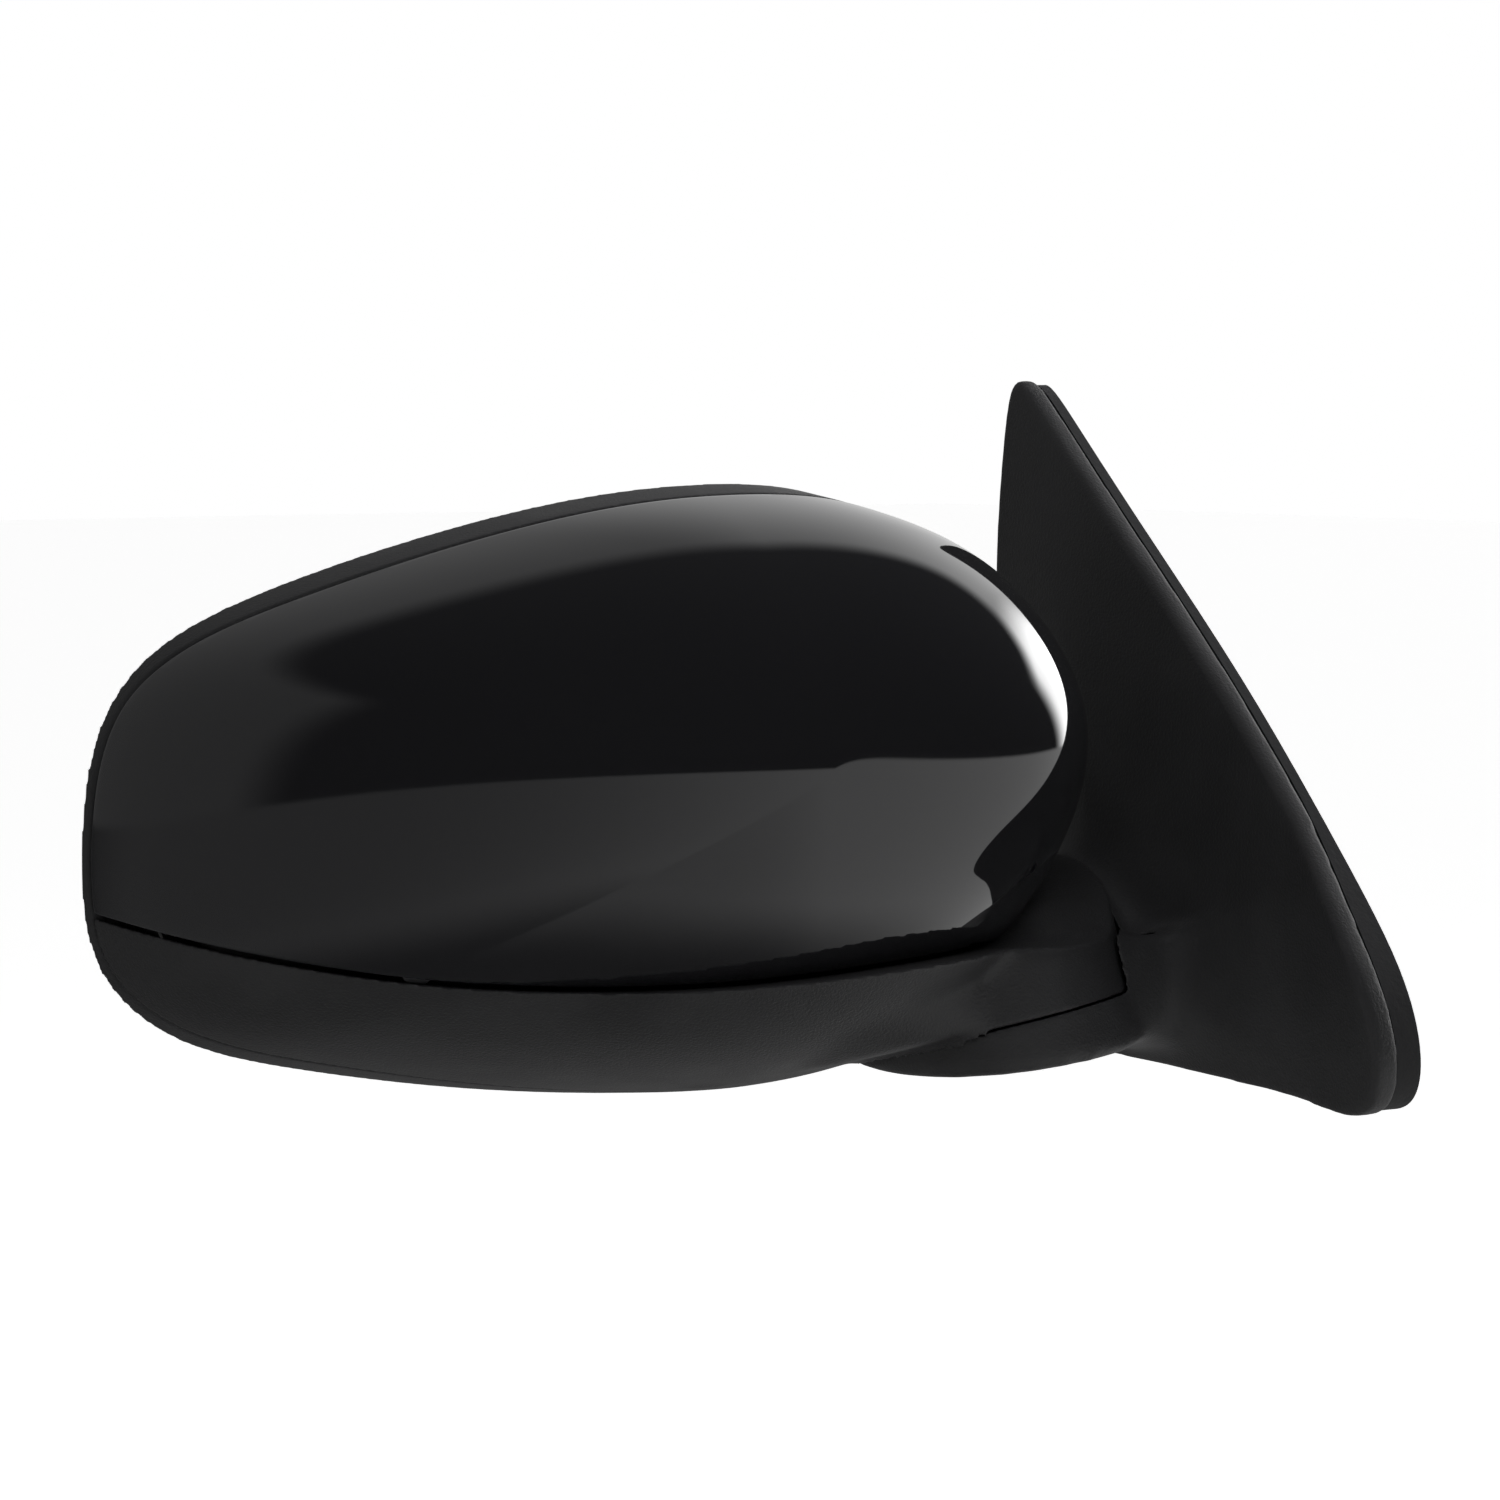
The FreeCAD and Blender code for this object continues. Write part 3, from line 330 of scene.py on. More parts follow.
# ---------------------------------------------------------------- the common form of head, foot and arm
def closed_mesh(name, rings):
    """Closed tube of rings of points, each end closed with a fan."""
    count = len(rings[0])
    ends = [[np.mean(rings[0], axis=0)], [np.mean(rings[-1], axis=0)]]
    verts = np.concatenate([np.asarray(r, float) for r in rings] + ends)
    first, last = len(rings) * count, len(rings) * count + 1
    faces = []
    for a in range(len(rings) - 1):
        for k in range(count):
            m = (k + 1) % count
            faces.append((a * count + k, a * count + m, (a + 1) * count + m, (a + 1) * count + k))
    for k in range(count):
        m = (k + 1) % count
        faces.append((first, m, k))
        faces.append((last, (len(rings) - 1) * count + k, (len(rings) - 1) * count + m))
    return tool(name, verts, faces)


def tool(name, verts, faces):
    """A closed helper mesh with its faces turned outward."""
    mesh = bpy.data.meshes.new(name)
    mesh.from_pydata([tuple(v) for v in np.asarray(verts, float) * MM], [], [tuple(f) for f in faces])
    obj = placed(name, mesh)
    work = bmesh.new()
    work.from_mesh(mesh)
    bmesh.ops.recalc_face_normals(work, faces=work.faces)
    work.to_mesh(mesh)
    work.free()
    return obj


def baked(obj):
    """Applies the modifiers of an object."""
    mesh = bpy.data.meshes.new_from_object(obj.evaluated_get(bpy.context.evaluated_depsgraph_get()))
    obj.modifiers.clear()
    obj.data = mesh
    return obj


def combined(obj, operation, *others):
    """Adds, cuts or keeps closed meshes one after the other and removes the tools."""
    for other in others:
        step = obj.modifiers.new("step", "BOOLEAN")
        step.operation = operation
        step.solver = "MANIFOLD"
        step.object = other
        baked(obj)
        bpy.data.objects.remove(other)
    return obj


def remeshed(obj, voxel):
    """Rebuilds a closed mesh from small cells, size in millimetres."""
    step = obj.modifiers.new("remesh", "REMESH")
    step.mode = "VOXEL"
    step.voxel_size = voxel * MM
    return baked(obj)


def eased(obj, rounds, weight=None):
    """Smooths the surface; a weight says how much at each point."""
    if weight is not None:
        points = np.empty(len(obj.data.vertices) * 3)
        obj.data.vertices.foreach_get("co", points)
        share = weight(points.reshape(-1, 3) / MM)
        group = obj.vertex_groups.new(name="ease")
        for level in range(1, 11):
            chosen = np.nonzero((share > (level - 0.5) / 10) & (share <= (level + 0.5) / 10))[0]
            group.add([int(i) for i in chosen], level / 10, "REPLACE")
    step = obj.modifiers.new("ease", "SMOOTH")
    step.factor = 0.5
    step.iterations = rounds
    if weight is not None:
        step.vertex_group = "ease"
    baked(obj)
    obj.vertex_groups.clear()
    return obj


def pivot_frame():
    """Two directions square to the fold axis: toward the door and rearward."""
    across = np.array([1.0, 0, 0]) - FOLD_UP * FOLD_UP[0]
    across /= np.linalg.norm(across)
    return across, np.cross(FOLD_UP, across)


def at_pivot(angle, radius, height):
    """Point at an angle, radius and height about the fold axis."""
    across, back = pivot_frame()
    return FOLD_POINT + FOLD_UP * height + radius * (cos(angle) * across + sin(angle) * back)


def under_foot(x):
    """Height of the foot's underside across the car."""
    return np.interp(x, *UNDERSIDE)


def round_bar(name, radius, bottom, top, count=96, to_underside=0.0):
    """Bar on the fold axis; it may end at the underside of the foot, raised by an amount."""
    rings = []
    for level in np.linspace(0, 1, 9):
        ring = []
        for k in range(count):
            a = 2 * pi * k / count
            low = bottom
            if to_underside is not None:
                p = at_pivot(a, radius, 0)
                low = max(bottom, (under_foot(p[0]) + to_underside - p[2]) / FOLD_UP[2])
            ring.append(at_pivot(a, radius, low + (top - low) * level))
        rings.append(ring)
    return closed_mesh(name, rings)


def dome_tool(name, point, depth=0.0, around=240, out=70):
    """Closed head form; point gives the form, and depth moves it inward."""
    u = np.arange(around) / around
    rings = []
    for rho in (np.arange(1, out + 1) / out) ** 0.9:
        p = point(u, np.full(around, rho))
        if depth:
            e = 1e-3
            across = point(u + e, np.full(around, rho)) - point(u - e, np.full(around, rho))
            along = point(u, np.full(around, min(rho + e, 1.0))) - point(u, np.full(around, rho - e))
            n = np.cross(across, along)
            n /= np.linalg.norm(n, axis=1)[:, None]
            n *= np.where(((p - HEAD_MIDDLE) * n).sum(axis=1) > 0, 1, -1)[:, None]
            p = p - n * depth
        rings.append(head_to_row(p))
    back = np.asarray(rings[-1])
    side = head_to_row(np.array([[0.0, 10.0, 0.0]])) - head_to_row(np.array([[0.0, 0.0, 0.0]]))
    if depth:
        rings.append(back + side)
    return closed_mesh(name, rings)


def skirt_points(u, rho):
    """The lower housing's form: the head's form pushed forward by its ledge."""
    p = head_points(u, rho)
    push = np.interp(-p[:, 0], [a for a, _ in LEDGE], [b for _, b in LEDGE])
    p[:, 1] -= push * (1 - smooth((p[:, 1] + 20) / 44))
    return p


def slab(name, verts):
    """Closed block between two outlines of as many points, one after the other in the list."""
    count = len(verts) // 2
    faces = [list(range(count)), list(range(count, 2 * count))[::-1]]
    faces += [[k, (k + 1) % count, count + (k + 1) % count, count + k] for k in range(count)]
    return tool(name, verts, faces)


def over_profile(name, table, along_w, floor, drop=0.0):
    """Closed block over a profile of heights: along w for the cap joint, along t for the boss."""
    xs = np.linspace(min(a for a, _ in table) - 1, max(a for a, _ in table) + 1, 160)
    heights = natural_curve(table, xs) - drop
    near, far = (-160.0, 160.0)
    ring = [[], []]
    for side, other in enumerate((near, far)):
        points = [(a, z) for a, z in zip(xs, heights)] + [(xs[-1], floor), (xs[0], floor)]
        for a, z in points:
            p = (-a, other, z) if along_w else (other, a, z)
            ring[side].append(p)
    rings = [head_to_row(np.array(r, float)) for r in ring]
    return slab(name, np.concatenate(rings))


def behind_joint(name, shift):
    """Closed block behind the rear edge of the cap."""
    xs = np.linspace(-45, 225, 120)
    edge = natural_curve(CAP_EDGE, xs) + shift
    ring = [(-w, t) for w, t in zip(xs, edge)] + [(-225.0, 160.0), (45.0, 160.0)]
    return slab(name, head_to_row(np.array([(x, y, z) for z in (-160.0, 160.0) for x, y in ring])))


def sector(name, start, end, near, far, bottom, top, eased_in=0.0):
    """Closed ring sector about the fold axis, angles in degrees; its inside may start further out."""
    turns = np.linspace(start, end, 80)
    inside = near + eased_in * (1 - smooth((turns - start) / 22))
    angles = np.radians(turns)
    verts = []
    for h in (bottom, top):
        verts += [at_pivot(a, r, h) for a, r in zip(angles, inside)]
        verts += [at_pivot(a, far, h) for a in angles[::-1]]
    return slab(name, verts)


def block(name, x0, x1, y0, y1, z0, z1):
    """Closed box in the head frame."""
    verts = np.array([(x, y, z) for x in (x0, x1) for y in (y0, y1) for z in (z0, z1)], float)
    faces = [(0, 1, 3, 2), (4, 6, 7, 5), (0, 4, 5, 1), (2, 3, 7, 6), (0, 2, 6, 4), (1, 5, 7, 3)]
    return tool(name, head_to_row(verts), faces)


def bridge(name):
    """Wedge that carries the skin's front across to the boss in one sweep."""
    u = np.arange(720) / 720
    grid = np.concatenate([skirt_points(u, np.full(720, r)) for r in np.linspace(0.3, 0.98, 120)])
    grid = grid[grid[:, 1] < 20]

    def front(w, z):
        near = (grid[:, 0] + w) ** 2 + (grid[:, 2] - z) ** 2
        return grid[np.argmin(near + (grid[:, 1] > 5) * 4), 1]
    along, aside = 32.2 * cos(radians(-113)), 32.2 * sin(radians(-113))
    rings = []
    for z in np.linspace(-53, -14, 14):
        rise = z - FOLD_POINT[2]
        axis = [FOLD_POINT[0] + FOLD_LEAN[0] * rise, FOLD_POINT[1] + FOLD_LEAN[1] * rise, z]
        centre = row_to_head(np.array([axis]))[0]
        low = min(1.0, max(0.0, (-43 - z) / 9))
        on_boss = (centre[0] + along * (1 - low) - 40 * low, centre[1] + aside * (1 - low) - 22 * low)
        on_skin = (-54.0, front(54.0, z) + 0.4)
        under_skin = (-70.0, front(70.0, z) + 3.0)
        middle = ((on_boss[0] + on_skin[0]) / 2, (on_boss[1] + on_skin[1]) / 2 - 0.6)
        ring = [on_boss, middle, on_skin, under_skin, (-70.0, 10.0), (on_boss[0] - 6, 4.0)]
        rings.append(head_to_row(np.array([(x, y, z) for x, y in ring])))
    return closed_mesh(name, rings)


def bowl_block(name, grow):
    """Closed block that fills the walls round the glass, grown by an amount."""
    outline = closed_curve(GLASS_OUTLINE, np.arange(120) / 120)
    along = np.roll(outline, -1, axis=0) - np.roll(outline, 1, axis=0)
    side = np.stack([along[:, 1], -along[:, 0]], axis=1)
    side /= np.linalg.norm(side, axis=1)[:, None]
    side *= np.where((side * (outline - outline.mean(axis=0))).sum(axis=1) > 0, 1, -1)[:, None]
    grown = outline + side * (6.2 + grow)
    rings = [head_to_row(np.stack([-grown[:, 0], np.full(120, t), grown[:, 1]], axis=1))
             for t in (15 - grow, 60.0)]
    return closed_mesh(name, rings)


def common_form():
    """One body of head skirt, boss, foot, arm and sail, with soft creases between them."""
    skirt = combined(dome_tool("skirt", skirt_points), "DIFFERENCE",
                     over_profile("over", SEAM, True, 200, -5.0),
                     sector("wedge", ARM_FROM, ARM_TO, 31.0, 320, -90, 120))
    column = combined(round_bar("column", COLUMN_R, -30, 80), "DIFFERENCE",
                      over_profile("over", BOSS_TOP, False, 200, -1.0))
    sail = copy_of(nodes["sail_cover"], "sail")
    joined = combined(bridge("bridge"), "DIFFERENCE",
                      round_bar("under", 150, -90, 0.4, to_underside=None))
    whole = bmesh.new()
    for piece in (skirt, column, joined, sail):
        whole.from_mesh(piece.data)
        bpy.data.objects.remove(piece)
    mesh = bpy.data.meshes.new("common")
    whole.to_mesh(mesh)
    whole.free()
    obj = remeshed(placed("common", mesh), 0.9)

    def softness(p):
        near = smooth((95 - from_axis(p)) / 30)
        inside_rim = smooth((-12.5 - p[:, 0]) / 8)
        return np.clip(near * inside_rim + 0.12, 0, 1)
    return eased(obj, 70, softness)


def copy_of(obj, name):
    """Object with its own copy of the mesh."""
    return placed(name, obj.data.copy())


def dressed(obj, name, material):
    """Names a piece, gives it one material and shades it smooth."""
    obj.name = name
    mesh = obj.data
    mesh.materials.clear()
    mesh.materials.append(material)
    mesh.polygons.foreach_set("use_smooth", [True] * len(mesh.polygons))
    return obj


def make_lower_shell(form, material):
    """Lower housing: the common form above the parting plane, hollowed, under the cap joint."""
    def bar(name, radius=BAR_R):
        return round_bar(name, radius, -60, 160, to_underside=None)
    over_seam = combined(over_profile("a", SEAM, True, 200), "DIFFERENCE", bar("b"))
    over_boss_top = combined(bar("c", BAR_R + 0.2), "DIFFERENCE",
                             over_profile("d", BOSS_TOP, False, -200))
    rear = combined(behind_joint("e", -0.15), "DIFFERENCE", bar("f"))
    inner = combined(dome_tool("g", skirt_points, WALL), "DIFFERENCE",
                     over_profile("h", SEAM, True, 200, WALL), bar("i"))
    mouth = combined(dome_tool("j", head_points, WALL + 0.4), "DIFFERENCE",
                     over_profile("k", SEAM, True, -200, WALL + 0.1), bar("l"))
    hollow = combined(round_bar("m", BOSS_R - WALL, 0.5 + WALL, 160, to_underside=None), "DIFFERENCE",
                      over_profile("n", BOSS_TOP, False, 200, WALL))
    bowl = combined(bowl_block("t", 0.15), "INTERSECT", bar("u"))
    frame_room = combined(block("s", -60, -12, -16.6, -0.5, -33, 40), "INTERSECT", bar("v"))
    obj = combined(form, "DIFFERENCE", sector("o", ARM_FROM, ARM_TO, BOSS_R, 330, -90, 160, 0.8),
                   round_bar("p", UNDERCUT_R, -90, 0.45, to_underside=None),
                   over_seam, over_boss_top, rear, inner, mouth, hollow,
                   round_bar("q", HUB_ROOM_R, -20, 5, to_underside=None),
                   round_bar("r", HUB_BORE_R, 1, 80, to_underside=None),
                   frame_room, bowl)
    return dressed(eased(remeshed(obj, 0.5), 6), "lower_shell", material)


def make_sail_shell(form, material):
    """Sail, arm and foot: the common form beside the pivot and under its parting plane."""
    room = round_bar("a", FOOT_IN, -14, 0.6, to_underside=WALL)
    obj = combined(form, "DIFFERENCE", round_bar("b", BORE_R, 0, 160, to_underside=None),
                   sector("c", ARM_TO, 360 + ARM_FROM, 32.6, 330, -90, 160), room)
    return dressed(eased(remeshed(obj, 0.6), 6), "sail_shell", material)


def softened(name, node, voxel, rounds, material):
    """A finer copy of a moulded CAD piece with its sharp edges eased."""
    return dressed(eased(remeshed(copy_of(nodes[node], name), voxel), rounds), name, material)


def threaded_stud(name, y, z, material):
    """One stud with a rolled thread, a plain neck and a chamfered tip."""
    around, per_turn = 40, 12
    length, neck = STUD_LENGTH, STUD_NECK
    rows = int((length - neck) / STUD_PITCH * per_turn)
    verts, faces = [], []

    def ring(x, radius):
        first = len(verts)
        for k in range(around):
            a = 2 * pi * k / around
            r = radius(a)
            verts.append((x, y + r * cos(a), z + r * sin(a)))
        return first
    starts = [ring(x, lambda a: STUD_COLLAR_R) for x in (-4.0, -0.05)]
    starts += [ring(x, lambda a: STUD_NECK_R) for x in (0.0, neck - 0.6)]
    for i in range(rows + 1):
        x = neck + (length - neck) * i / rows
        fade = min(1.0, (x - neck) / 1.2)
        tip = max(0.0, (x - (length - 1.2)) / 1.2)

        def radius(a, x=x, fade=fade, tip=tip):
            phase = ((x / STUD_PITCH - a / (2 * pi)) % 1.0)
            crest = 1 - abs(phase * 2 - 1)
            depth = THREAD_DEPTH * (1 - min(1.0, max(0.0, (crest - 0.06) / 0.86)))
            return min(THREAD_R - depth * fade, STUD_NECK_R - 0.9 * tip)
        starts.append(ring(x, radius))
    starts.append(ring(length, lambda a: 0.01))
    for a, b in zip(starts, starts[1:]):
        for k in range(around):
            m = (k + 1) % around
            faces.append((a + k, a + m, b + m, b + k))
    return new_object(name, verts, faces, material)


# ---------------------------------------------------------------- materials
def shader(name, color, rough, metal=0.0, coat=0.0, spec=0.5):
    """New material with its node tree and surface."""
    material = bpy.data.materials.new(name)
    material.use_nodes = True
    tree = material.node_tree
    surface = tree.nodes["Principled BSDF"]
    surface.inputs["Base Color"].default_value = (*color, 1)
    surface.inputs["Roughness"].default_value = rough
    surface.inputs["Metallic"].default_value = metal
    surface.inputs["Coat Weight"].default_value = coat
    surface.inputs["Coat Roughness"].default_value = 0.02
    surface.inputs["Specular IOR Level"].default_value = spec
    return material, tree, surface


def object_noise(tree, scale, detail=2.0, rough=0.5):
    """Noise fixed to the piece."""
    place = tree.nodes.new("ShaderNodeTexCoord")
    noise = tree.nodes.new("ShaderNodeTexNoise")
    noise.inputs["Scale"].default_value = scale
    noise.inputs["Detail"].default_value = detail
    noise.inputs["Roughness"].default_value = rough
    tree.links.new(place.outputs["Object"], noise.inputs["Vector"])
    return noise


def vary_roughness(tree, surface, noise, low, high):
    """Lets the gloss wander between two values."""
    spread = tree.nodes.new("ShaderNodeMapRange")
    spread.inputs["From Min"].default_value = 0.3
    spread.inputs["From Max"].default_value = 0.7
    spread.inputs["To Min"].default_value = low
    spread.inputs["To Max"].default_value = high
    tree.links.new(noise.outputs["Fac"], spread.inputs["Value"])
    tree.links.new(spread.outputs["Result"], surface.inputs["Roughness"])


def vary_color(tree, surface, noise, dark, light, start=0.35, end=0.65):
    """Lets the colour wander between two tones."""
    ramp = tree.nodes.new("ShaderNodeValToRGB")
    ramp.color_ramp.elements[0].position = start
    ramp.color_ramp.elements[0].color = (*dark, 1)
    ramp.color_ramp.elements[1].position = end
    ramp.color_ramp.elements[1].color = (*light, 1)
    tree.links.new(noise.outputs["Fac"], ramp.inputs["Fac"])
    tree.links.new(ramp.outputs["Color"], surface.inputs["Base Color"])


def add_bump(tree, surface, noise, strength, distance):
    """Fine relief in the shading."""
    bump = tree.nodes.new("ShaderNodeBump")
    bump.inputs["Strength"].default_value = strength
    bump.inputs["Distance"].default_value = distance
    tree.links.new(noise.outputs["Fac"], bump.inputs["Height"])
    tree.links.new(bump.outputs["Normal"], surface.inputs["Normal"])


def gloss_paint():
    """Black lacquer: very faint orange peel and a trace of dust in its gloss."""
    material, tree, surface = shader("gloss_paint", (0.004, 0.004, 0.0045), 0.04, coat=1.0)
    add_bump(tree, surface, object_noise(tree, 420, 1.0), 0.015, 0.0002)
    vary_roughness(tree, surface, object_noise(tree, 60, 3.0), 0.03, 0.06)
    return material


def grained(name, color, low, high, grain=1500, strength=0.35):
    """Moulded plastic with a fine spark-eroded grain."""
    material, tree, surface = shader(name, color, 0.5)
    add_bump(tree, surface, object_noise(tree, grain, 2.5, 0.6), strength, 0.00025)
    broad = object_noise(tree, 45, 3.0)
    vary_roughness(tree, surface, broad, low, high)
    dark, light = tuple(c * 0.88 for c in color), tuple(min(1, c * 1.12) for c in color)
    vary_color(tree, surface, broad, dark, light)
    return material


def metal(name, color, low, high, grain=900, strength=0.12):
    """Metal with a faint grain and an uneven gloss."""
    material, tree, surface = shader(name, color, 0.35, metal=1.0)
    add_bump(tree, surface, object_noise(tree, grain, 3.0, 0.6), strength, 0.0001)
    broad = object_noise(tree, 120, 4.0)
    vary_roughness(tree, surface, broad, low, high)
    vary_color(tree, surface, broad, tuple(c * 0.85 for c in color), color)
    return material


def silvered():
    """Mirror glass: silver under a clear face with a few wipe marks in its gloss."""
    material, tree, surface = shader("silvered", (0.86, 0.88, 0.89), 0.02, metal=1.0)
    vary_roughness(tree, surface, object_noise(tree, 30, 4.0), 0.005, 0.03)
    vary_color(tree, surface, object_noise(tree, 12, 2.0), (0.84, 0.86, 0.875), (0.88, 0.9, 0.905))
    return material


def film():
    """Heater film: amber sheet with darker printed tracks."""
    material, tree, surface = shader("heater_film", (0.35, 0.18, 0.06), 0.35)
    place = tree.nodes.new("ShaderNodeTexCoord")
    wave = tree.nodes.new("ShaderNodeTexWave")
    wave.bands_direction = "Z"
    wave.inputs["Scale"].default_value = 55
    wave.inputs["Distortion"].default_value = 0.4
    tree.links.new(place.outputs["Object"], wave.inputs["Vector"])
    vary_color(tree, surface, wave, (0.08, 0.05, 0.035), (0.42, 0.22, 0.08), 0.45, 0.55)
    add_bump(tree, surface, wave, 0.2, 0.0001)
    return material


GLOSS = gloss_paint()
HOUSING = grained("housing_grain", (0.009, 0.009, 0.0095), 0.42, 0.55, 1500, 0.7)
SAIL = grained("sail_grain", (0.010, 0.010, 0.0105), 0.45, 0.58, 1500, 0.7)
RUBBER = grained("foam_rubber", (0.008, 0.008, 0.0085), 0.75, 0.9, 700, 0.6)
BUSH = grained("bush_rubber", (0.02, 0.02, 0.02), 0.55, 0.7, 900, 0.2)
CAST = metal("die_cast", (0.5, 0.51, 0.52), 0.42, 0.62, 700, 0.5)
ZINC = metal("zinc_plate", (0.66, 0.67, 0.69), 0.2, 0.36)
DARK_STEEL = metal("dark_steel", (0.12, 0.12, 0.125), 0.3, 0.45)
SPRING = metal("spring_wire", (0.3, 0.3, 0.31), 0.25, 0.4)
FILLED = grained("glass_filled", (0.03, 0.03, 0.032), 0.5, 0.68, 600, 0.3)
MOULDED = grained("plain_moulding", (0.045, 0.045, 0.048), 0.35, 0.5, 500, 0.12)
CAN = metal("motor_can", (0.5, 0.5, 0.52), 0.25, 0.4)
ACETAL = grained("acetal", (0.72, 0.71, 0.66), 0.3, 0.42, 500, 0.08)
WORM = grained("worm_acetal", (0.1, 0.1, 0.11), 0.3, 0.42, 500, 0.08)
BACKING = grained("backing_moulding", (0.028, 0.028, 0.03), 0.4, 0.55, 700, 0.2)
TAB = metal("tinned_brass", (0.7, 0.6, 0.4), 0.25, 0.4)

CAD_MATERIALS = {
    "base_gasket": RUBBER, "base_casting": CAST, "cover_screws": DARK_STEEL, "wire_grommet": BUSH,
    "pivot_post": ZINC, "stop_ring": DARK_STEEL, "thrust_washer": ACETAL, "pivot_spring": SPRING,
    "spring_retainer": DARK_STEEL, "head_frame": FILLED, "frame_screws": DARK_STEEL,
    "actuator_base": MOULDED, "actuator_cover": MOULDED, "actuator_screws": ZINC,
    "tilt_motor": CAN, "pan_motor": CAN, "tilt_worm": WORM, "pan_worm": WORM,
    "tilt_gear": ACETAL, "pan_gear": ACETAL, "tilt_plunger": ACETAL, "pan_plunger": ACETAL,
    "gimbal_ring": MOULDED, "glass_backing": BACKING, "heater_pad": film(),
    "mirror_glass": silvered(), "heater_terminals": TAB, "connector_inlet": MOULDED}


def dress_cad():
    """Gives the CAD solids their materials."""
    for name, material in CAD_MATERIALS.items():
        data = nodes[name].data
        data.materials.clear()
        data.materials.append(material)


# ---------------------------------------------------------------- the pieces
dress_cad()
cap = make_cap(GLOSS)
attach(cap, "head")
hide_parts("front_cap")

form = common_form()
lower = make_lower_shell(copy_of(form, "lower"), HOUSING)
sail = make_sail_shell(form, SAIL)
surround = softened("surround_shell", "rear_housing", 0.55, 9, HOUSING)
for obj, node, body, slot in ((lower, "lower_housing", "head", "texture_black"),
                              (sail, "sail_cover", "base", "sail_black"),
                              (surround, "rear_housing", "head", "texture_black")):
    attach(obj, body)
    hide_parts(node)

studs = [threaded_stud("stud_%d" % k, y, z, ZINC) for k, (y, z) in enumerate(STUDS)]
for stud in studs:
    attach(stud, "base")
    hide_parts("mounting_studs")


# ---------------------------------------------------------------- light, floor, camera
TARGET = Vector((-0.07475, 0.05411, 0.02071))
AZIMUTH, ELEVATION, DISTANCE, LENS = -35.0, 4.0, 1.3, 132.8
FLOOR_HEIGHT = -0.3


def set_camera():
    """Camera looking at the head from the front, a little above it."""
    a, e = radians(AZIMUTH), radians(ELEVATION)
    back = Vector((sin(a) * cos(e), -cos(a) * cos(e), sin(e)))
    data = bpy.data.cameras.new("camera")
    data.lens = LENS
    camera = placed("camera", data)
    camera.location = TARGET + back * DISTANCE
    camera.rotation_euler = (-back).to_track_quat("-Z", "Y").to_euler()
    bpy.context.scene.camera = camera


def softbox(name, place, size, power, aim):
    """Rectangular area light turned to a point; it doesn't show in reflections."""
    data = bpy.data.lights.new(name, "AREA")
    data.shape = "RECTANGLE"
    data.size, data.size_y = size
    data.energy = power
    light = placed(name, data)
    light.location = place
    light.rotation_euler = (Vector(place) - Vector(aim)).to_track_quat("Z", "Y").to_euler()
    light.visible_glossy = False


def soft_step(tree, value, start, end, low, high):
    """Shading value that passes smoothly from low to high."""
    step = tree.nodes.new("ShaderNodeMapRange")
    step.interpolation_type = "SMOOTHSTEP"
    for name, number in (("From Min", start), ("From Max", end), ("To Min", low), ("To Max", high)):
        step.inputs[name].default_value = number
    tree.links.new(value, step.inputs["Value"])
    return step.outputs["Result"]


def calculated(tree, operation, first, second):
    """Shading value worked out from two others."""
    node = tree.nodes.new("ShaderNodeMath")
    node.operation = operation
    for socket, value in zip(node.inputs, (first, second)):
        if isinstance(value, float):
            socket.default_value = value
        else:
            tree.links.new(value, socket)
    return node.outputs["Value"]


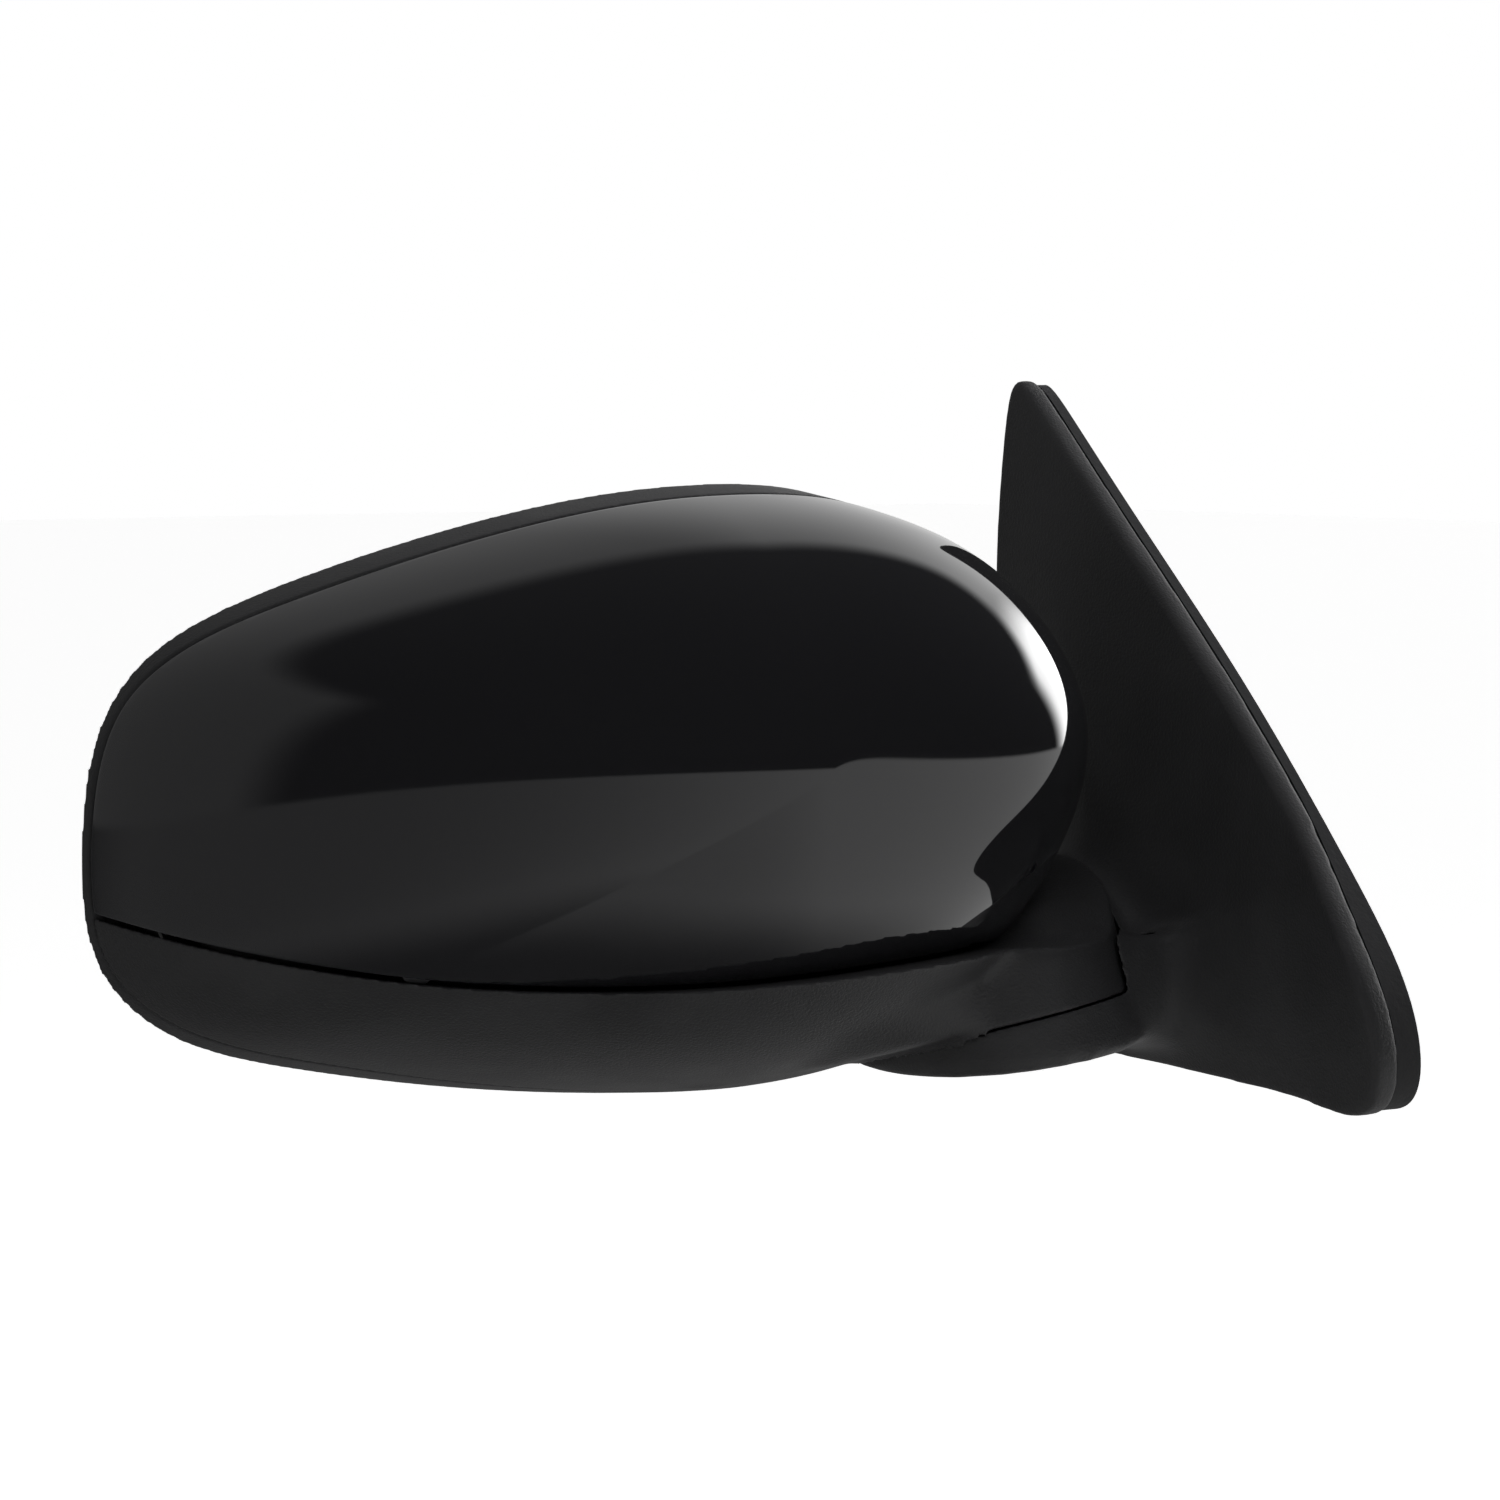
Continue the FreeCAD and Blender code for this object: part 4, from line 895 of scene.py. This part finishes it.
def room_brightness(tree):
    """Bright backdrop behind and to the right, dark ceiling and room, a grey table below."""
    place = tree.nodes.new("ShaderNodeTexCoord")
    split = tree.nodes.new("ShaderNodeSeparateXYZ")
    tree.links.new(place.outputs["Generated"], split.inputs["Vector"])
    x, y, z = (split.outputs[axis] for axis in "XYZ")
    # the backdrop's upper edge is tilted
    height = calculated(tree, "ADD", z, calculated(tree, "MULTIPLY", y, -0.41))
    height = calculated(tree, "ADD", height, calculated(tree, "MULTIPLY", x, 0.22))
    backdrop = calculated(tree, "MULTIPLY", soft_step(tree, height, 0.6, 0.72, 1.0, 0.0),
                          soft_step(tree, y, -0.25, -0.02, 0.0, 1.0))
    glare = calculated(tree, "ADD", soft_step(tree, x, 0.35, 0.82, 0.2, 1.1),
                       soft_step(tree, x, 0.8, 0.92, 0.0, 5.0))
    above = calculated(tree, "ADD", calculated(tree, "MULTIPLY", backdrop, glare), 0.025)
    below = calculated(tree, "MULTIPLY", soft_step(tree, x, -1.0, 1.0, 0.2, 0.95),
                       soft_step(tree, z, -0.95, -0.6, 0.12, 1.0))
    below = calculated(tree, "MULTIPLY", below, soft_step(tree, y, 0.3, 0.8, 1.0, 0.25))
    upward = soft_step(tree, z, -0.01, 0.02, 0.0, 1.0)
    down = calculated(tree, "SUBTRACT", 1.0, upward)
    return calculated(tree, "ADD", calculated(tree, "MULTIPLY", above, upward),
                      calculated(tree, "MULTIPLY", below, down))


def set_world():
    """Plain white to the camera; the room for all light and reflections."""
    world = bpy.data.worlds.new("studio")
    bpy.context.scene.world = world
    world.use_nodes = True
    tree = world.node_tree
    tree.nodes.clear()
    out = tree.nodes.new("ShaderNodeOutputWorld")
    mix = tree.nodes.new("ShaderNodeMixShader")
    seen = tree.nodes.new("ShaderNodeBackground")
    seen.inputs["Color"].default_value = (1, 1, 1, 1)
    seen.inputs["Strength"].default_value = 1.0
    lit = tree.nodes.new("ShaderNodeBackground")
    tree.links.new(room_brightness(tree), lit.inputs["Strength"])
    path = tree.nodes.new("ShaderNodeLightPath")
    tree.links.new(path.outputs["Is Camera Ray"], mix.inputs["Fac"])
    tree.links.new(lit.outputs["Background"], mix.inputs[1])
    tree.links.new(seen.outputs["Background"], mix.inputs[2])
    tree.links.new(mix.outputs["Shader"], out.inputs["Surface"])


def lay_floor():
    """Pale floor well below the part, which hangs from its door face."""
    verts = [(x, y, FLOOR_HEIGHT) for x, y in ((-9, -9), (9, -9), (9, 12), (-9, 12))]
    mesh = bpy.data.meshes.new("floor")
    mesh.from_pydata(verts, [], [(0, 1, 2, 3)])
    material, tree, surface = shader("floor_paper", (0.85, 0.85, 0.85), 0.9, spec=0.1)
    surface.inputs["Emission Color"].default_value = (1, 1, 1, 1)
    surface.inputs["Emission Strength"].default_value = 0.8
    vary_roughness(tree, surface, object_noise(tree, 3, 2.0), 0.85, 0.95)
    mesh.materials.append(material)
    floor = placed("floor", mesh)
    floor.visible_glossy = False


bpy.context.scene.view_settings.view_transform = "Standard"
set_camera()
set_world()
lay_floor()
softbox("top_light", (-0.3, -0.5, 0.9), (0.9, 0.6), 14, (-0.1, 0, 0))
softbox("side_light", (0.35, 0.05, 0.45), (0.35, 0.5), 8, (-0.07, 0, 0.05))
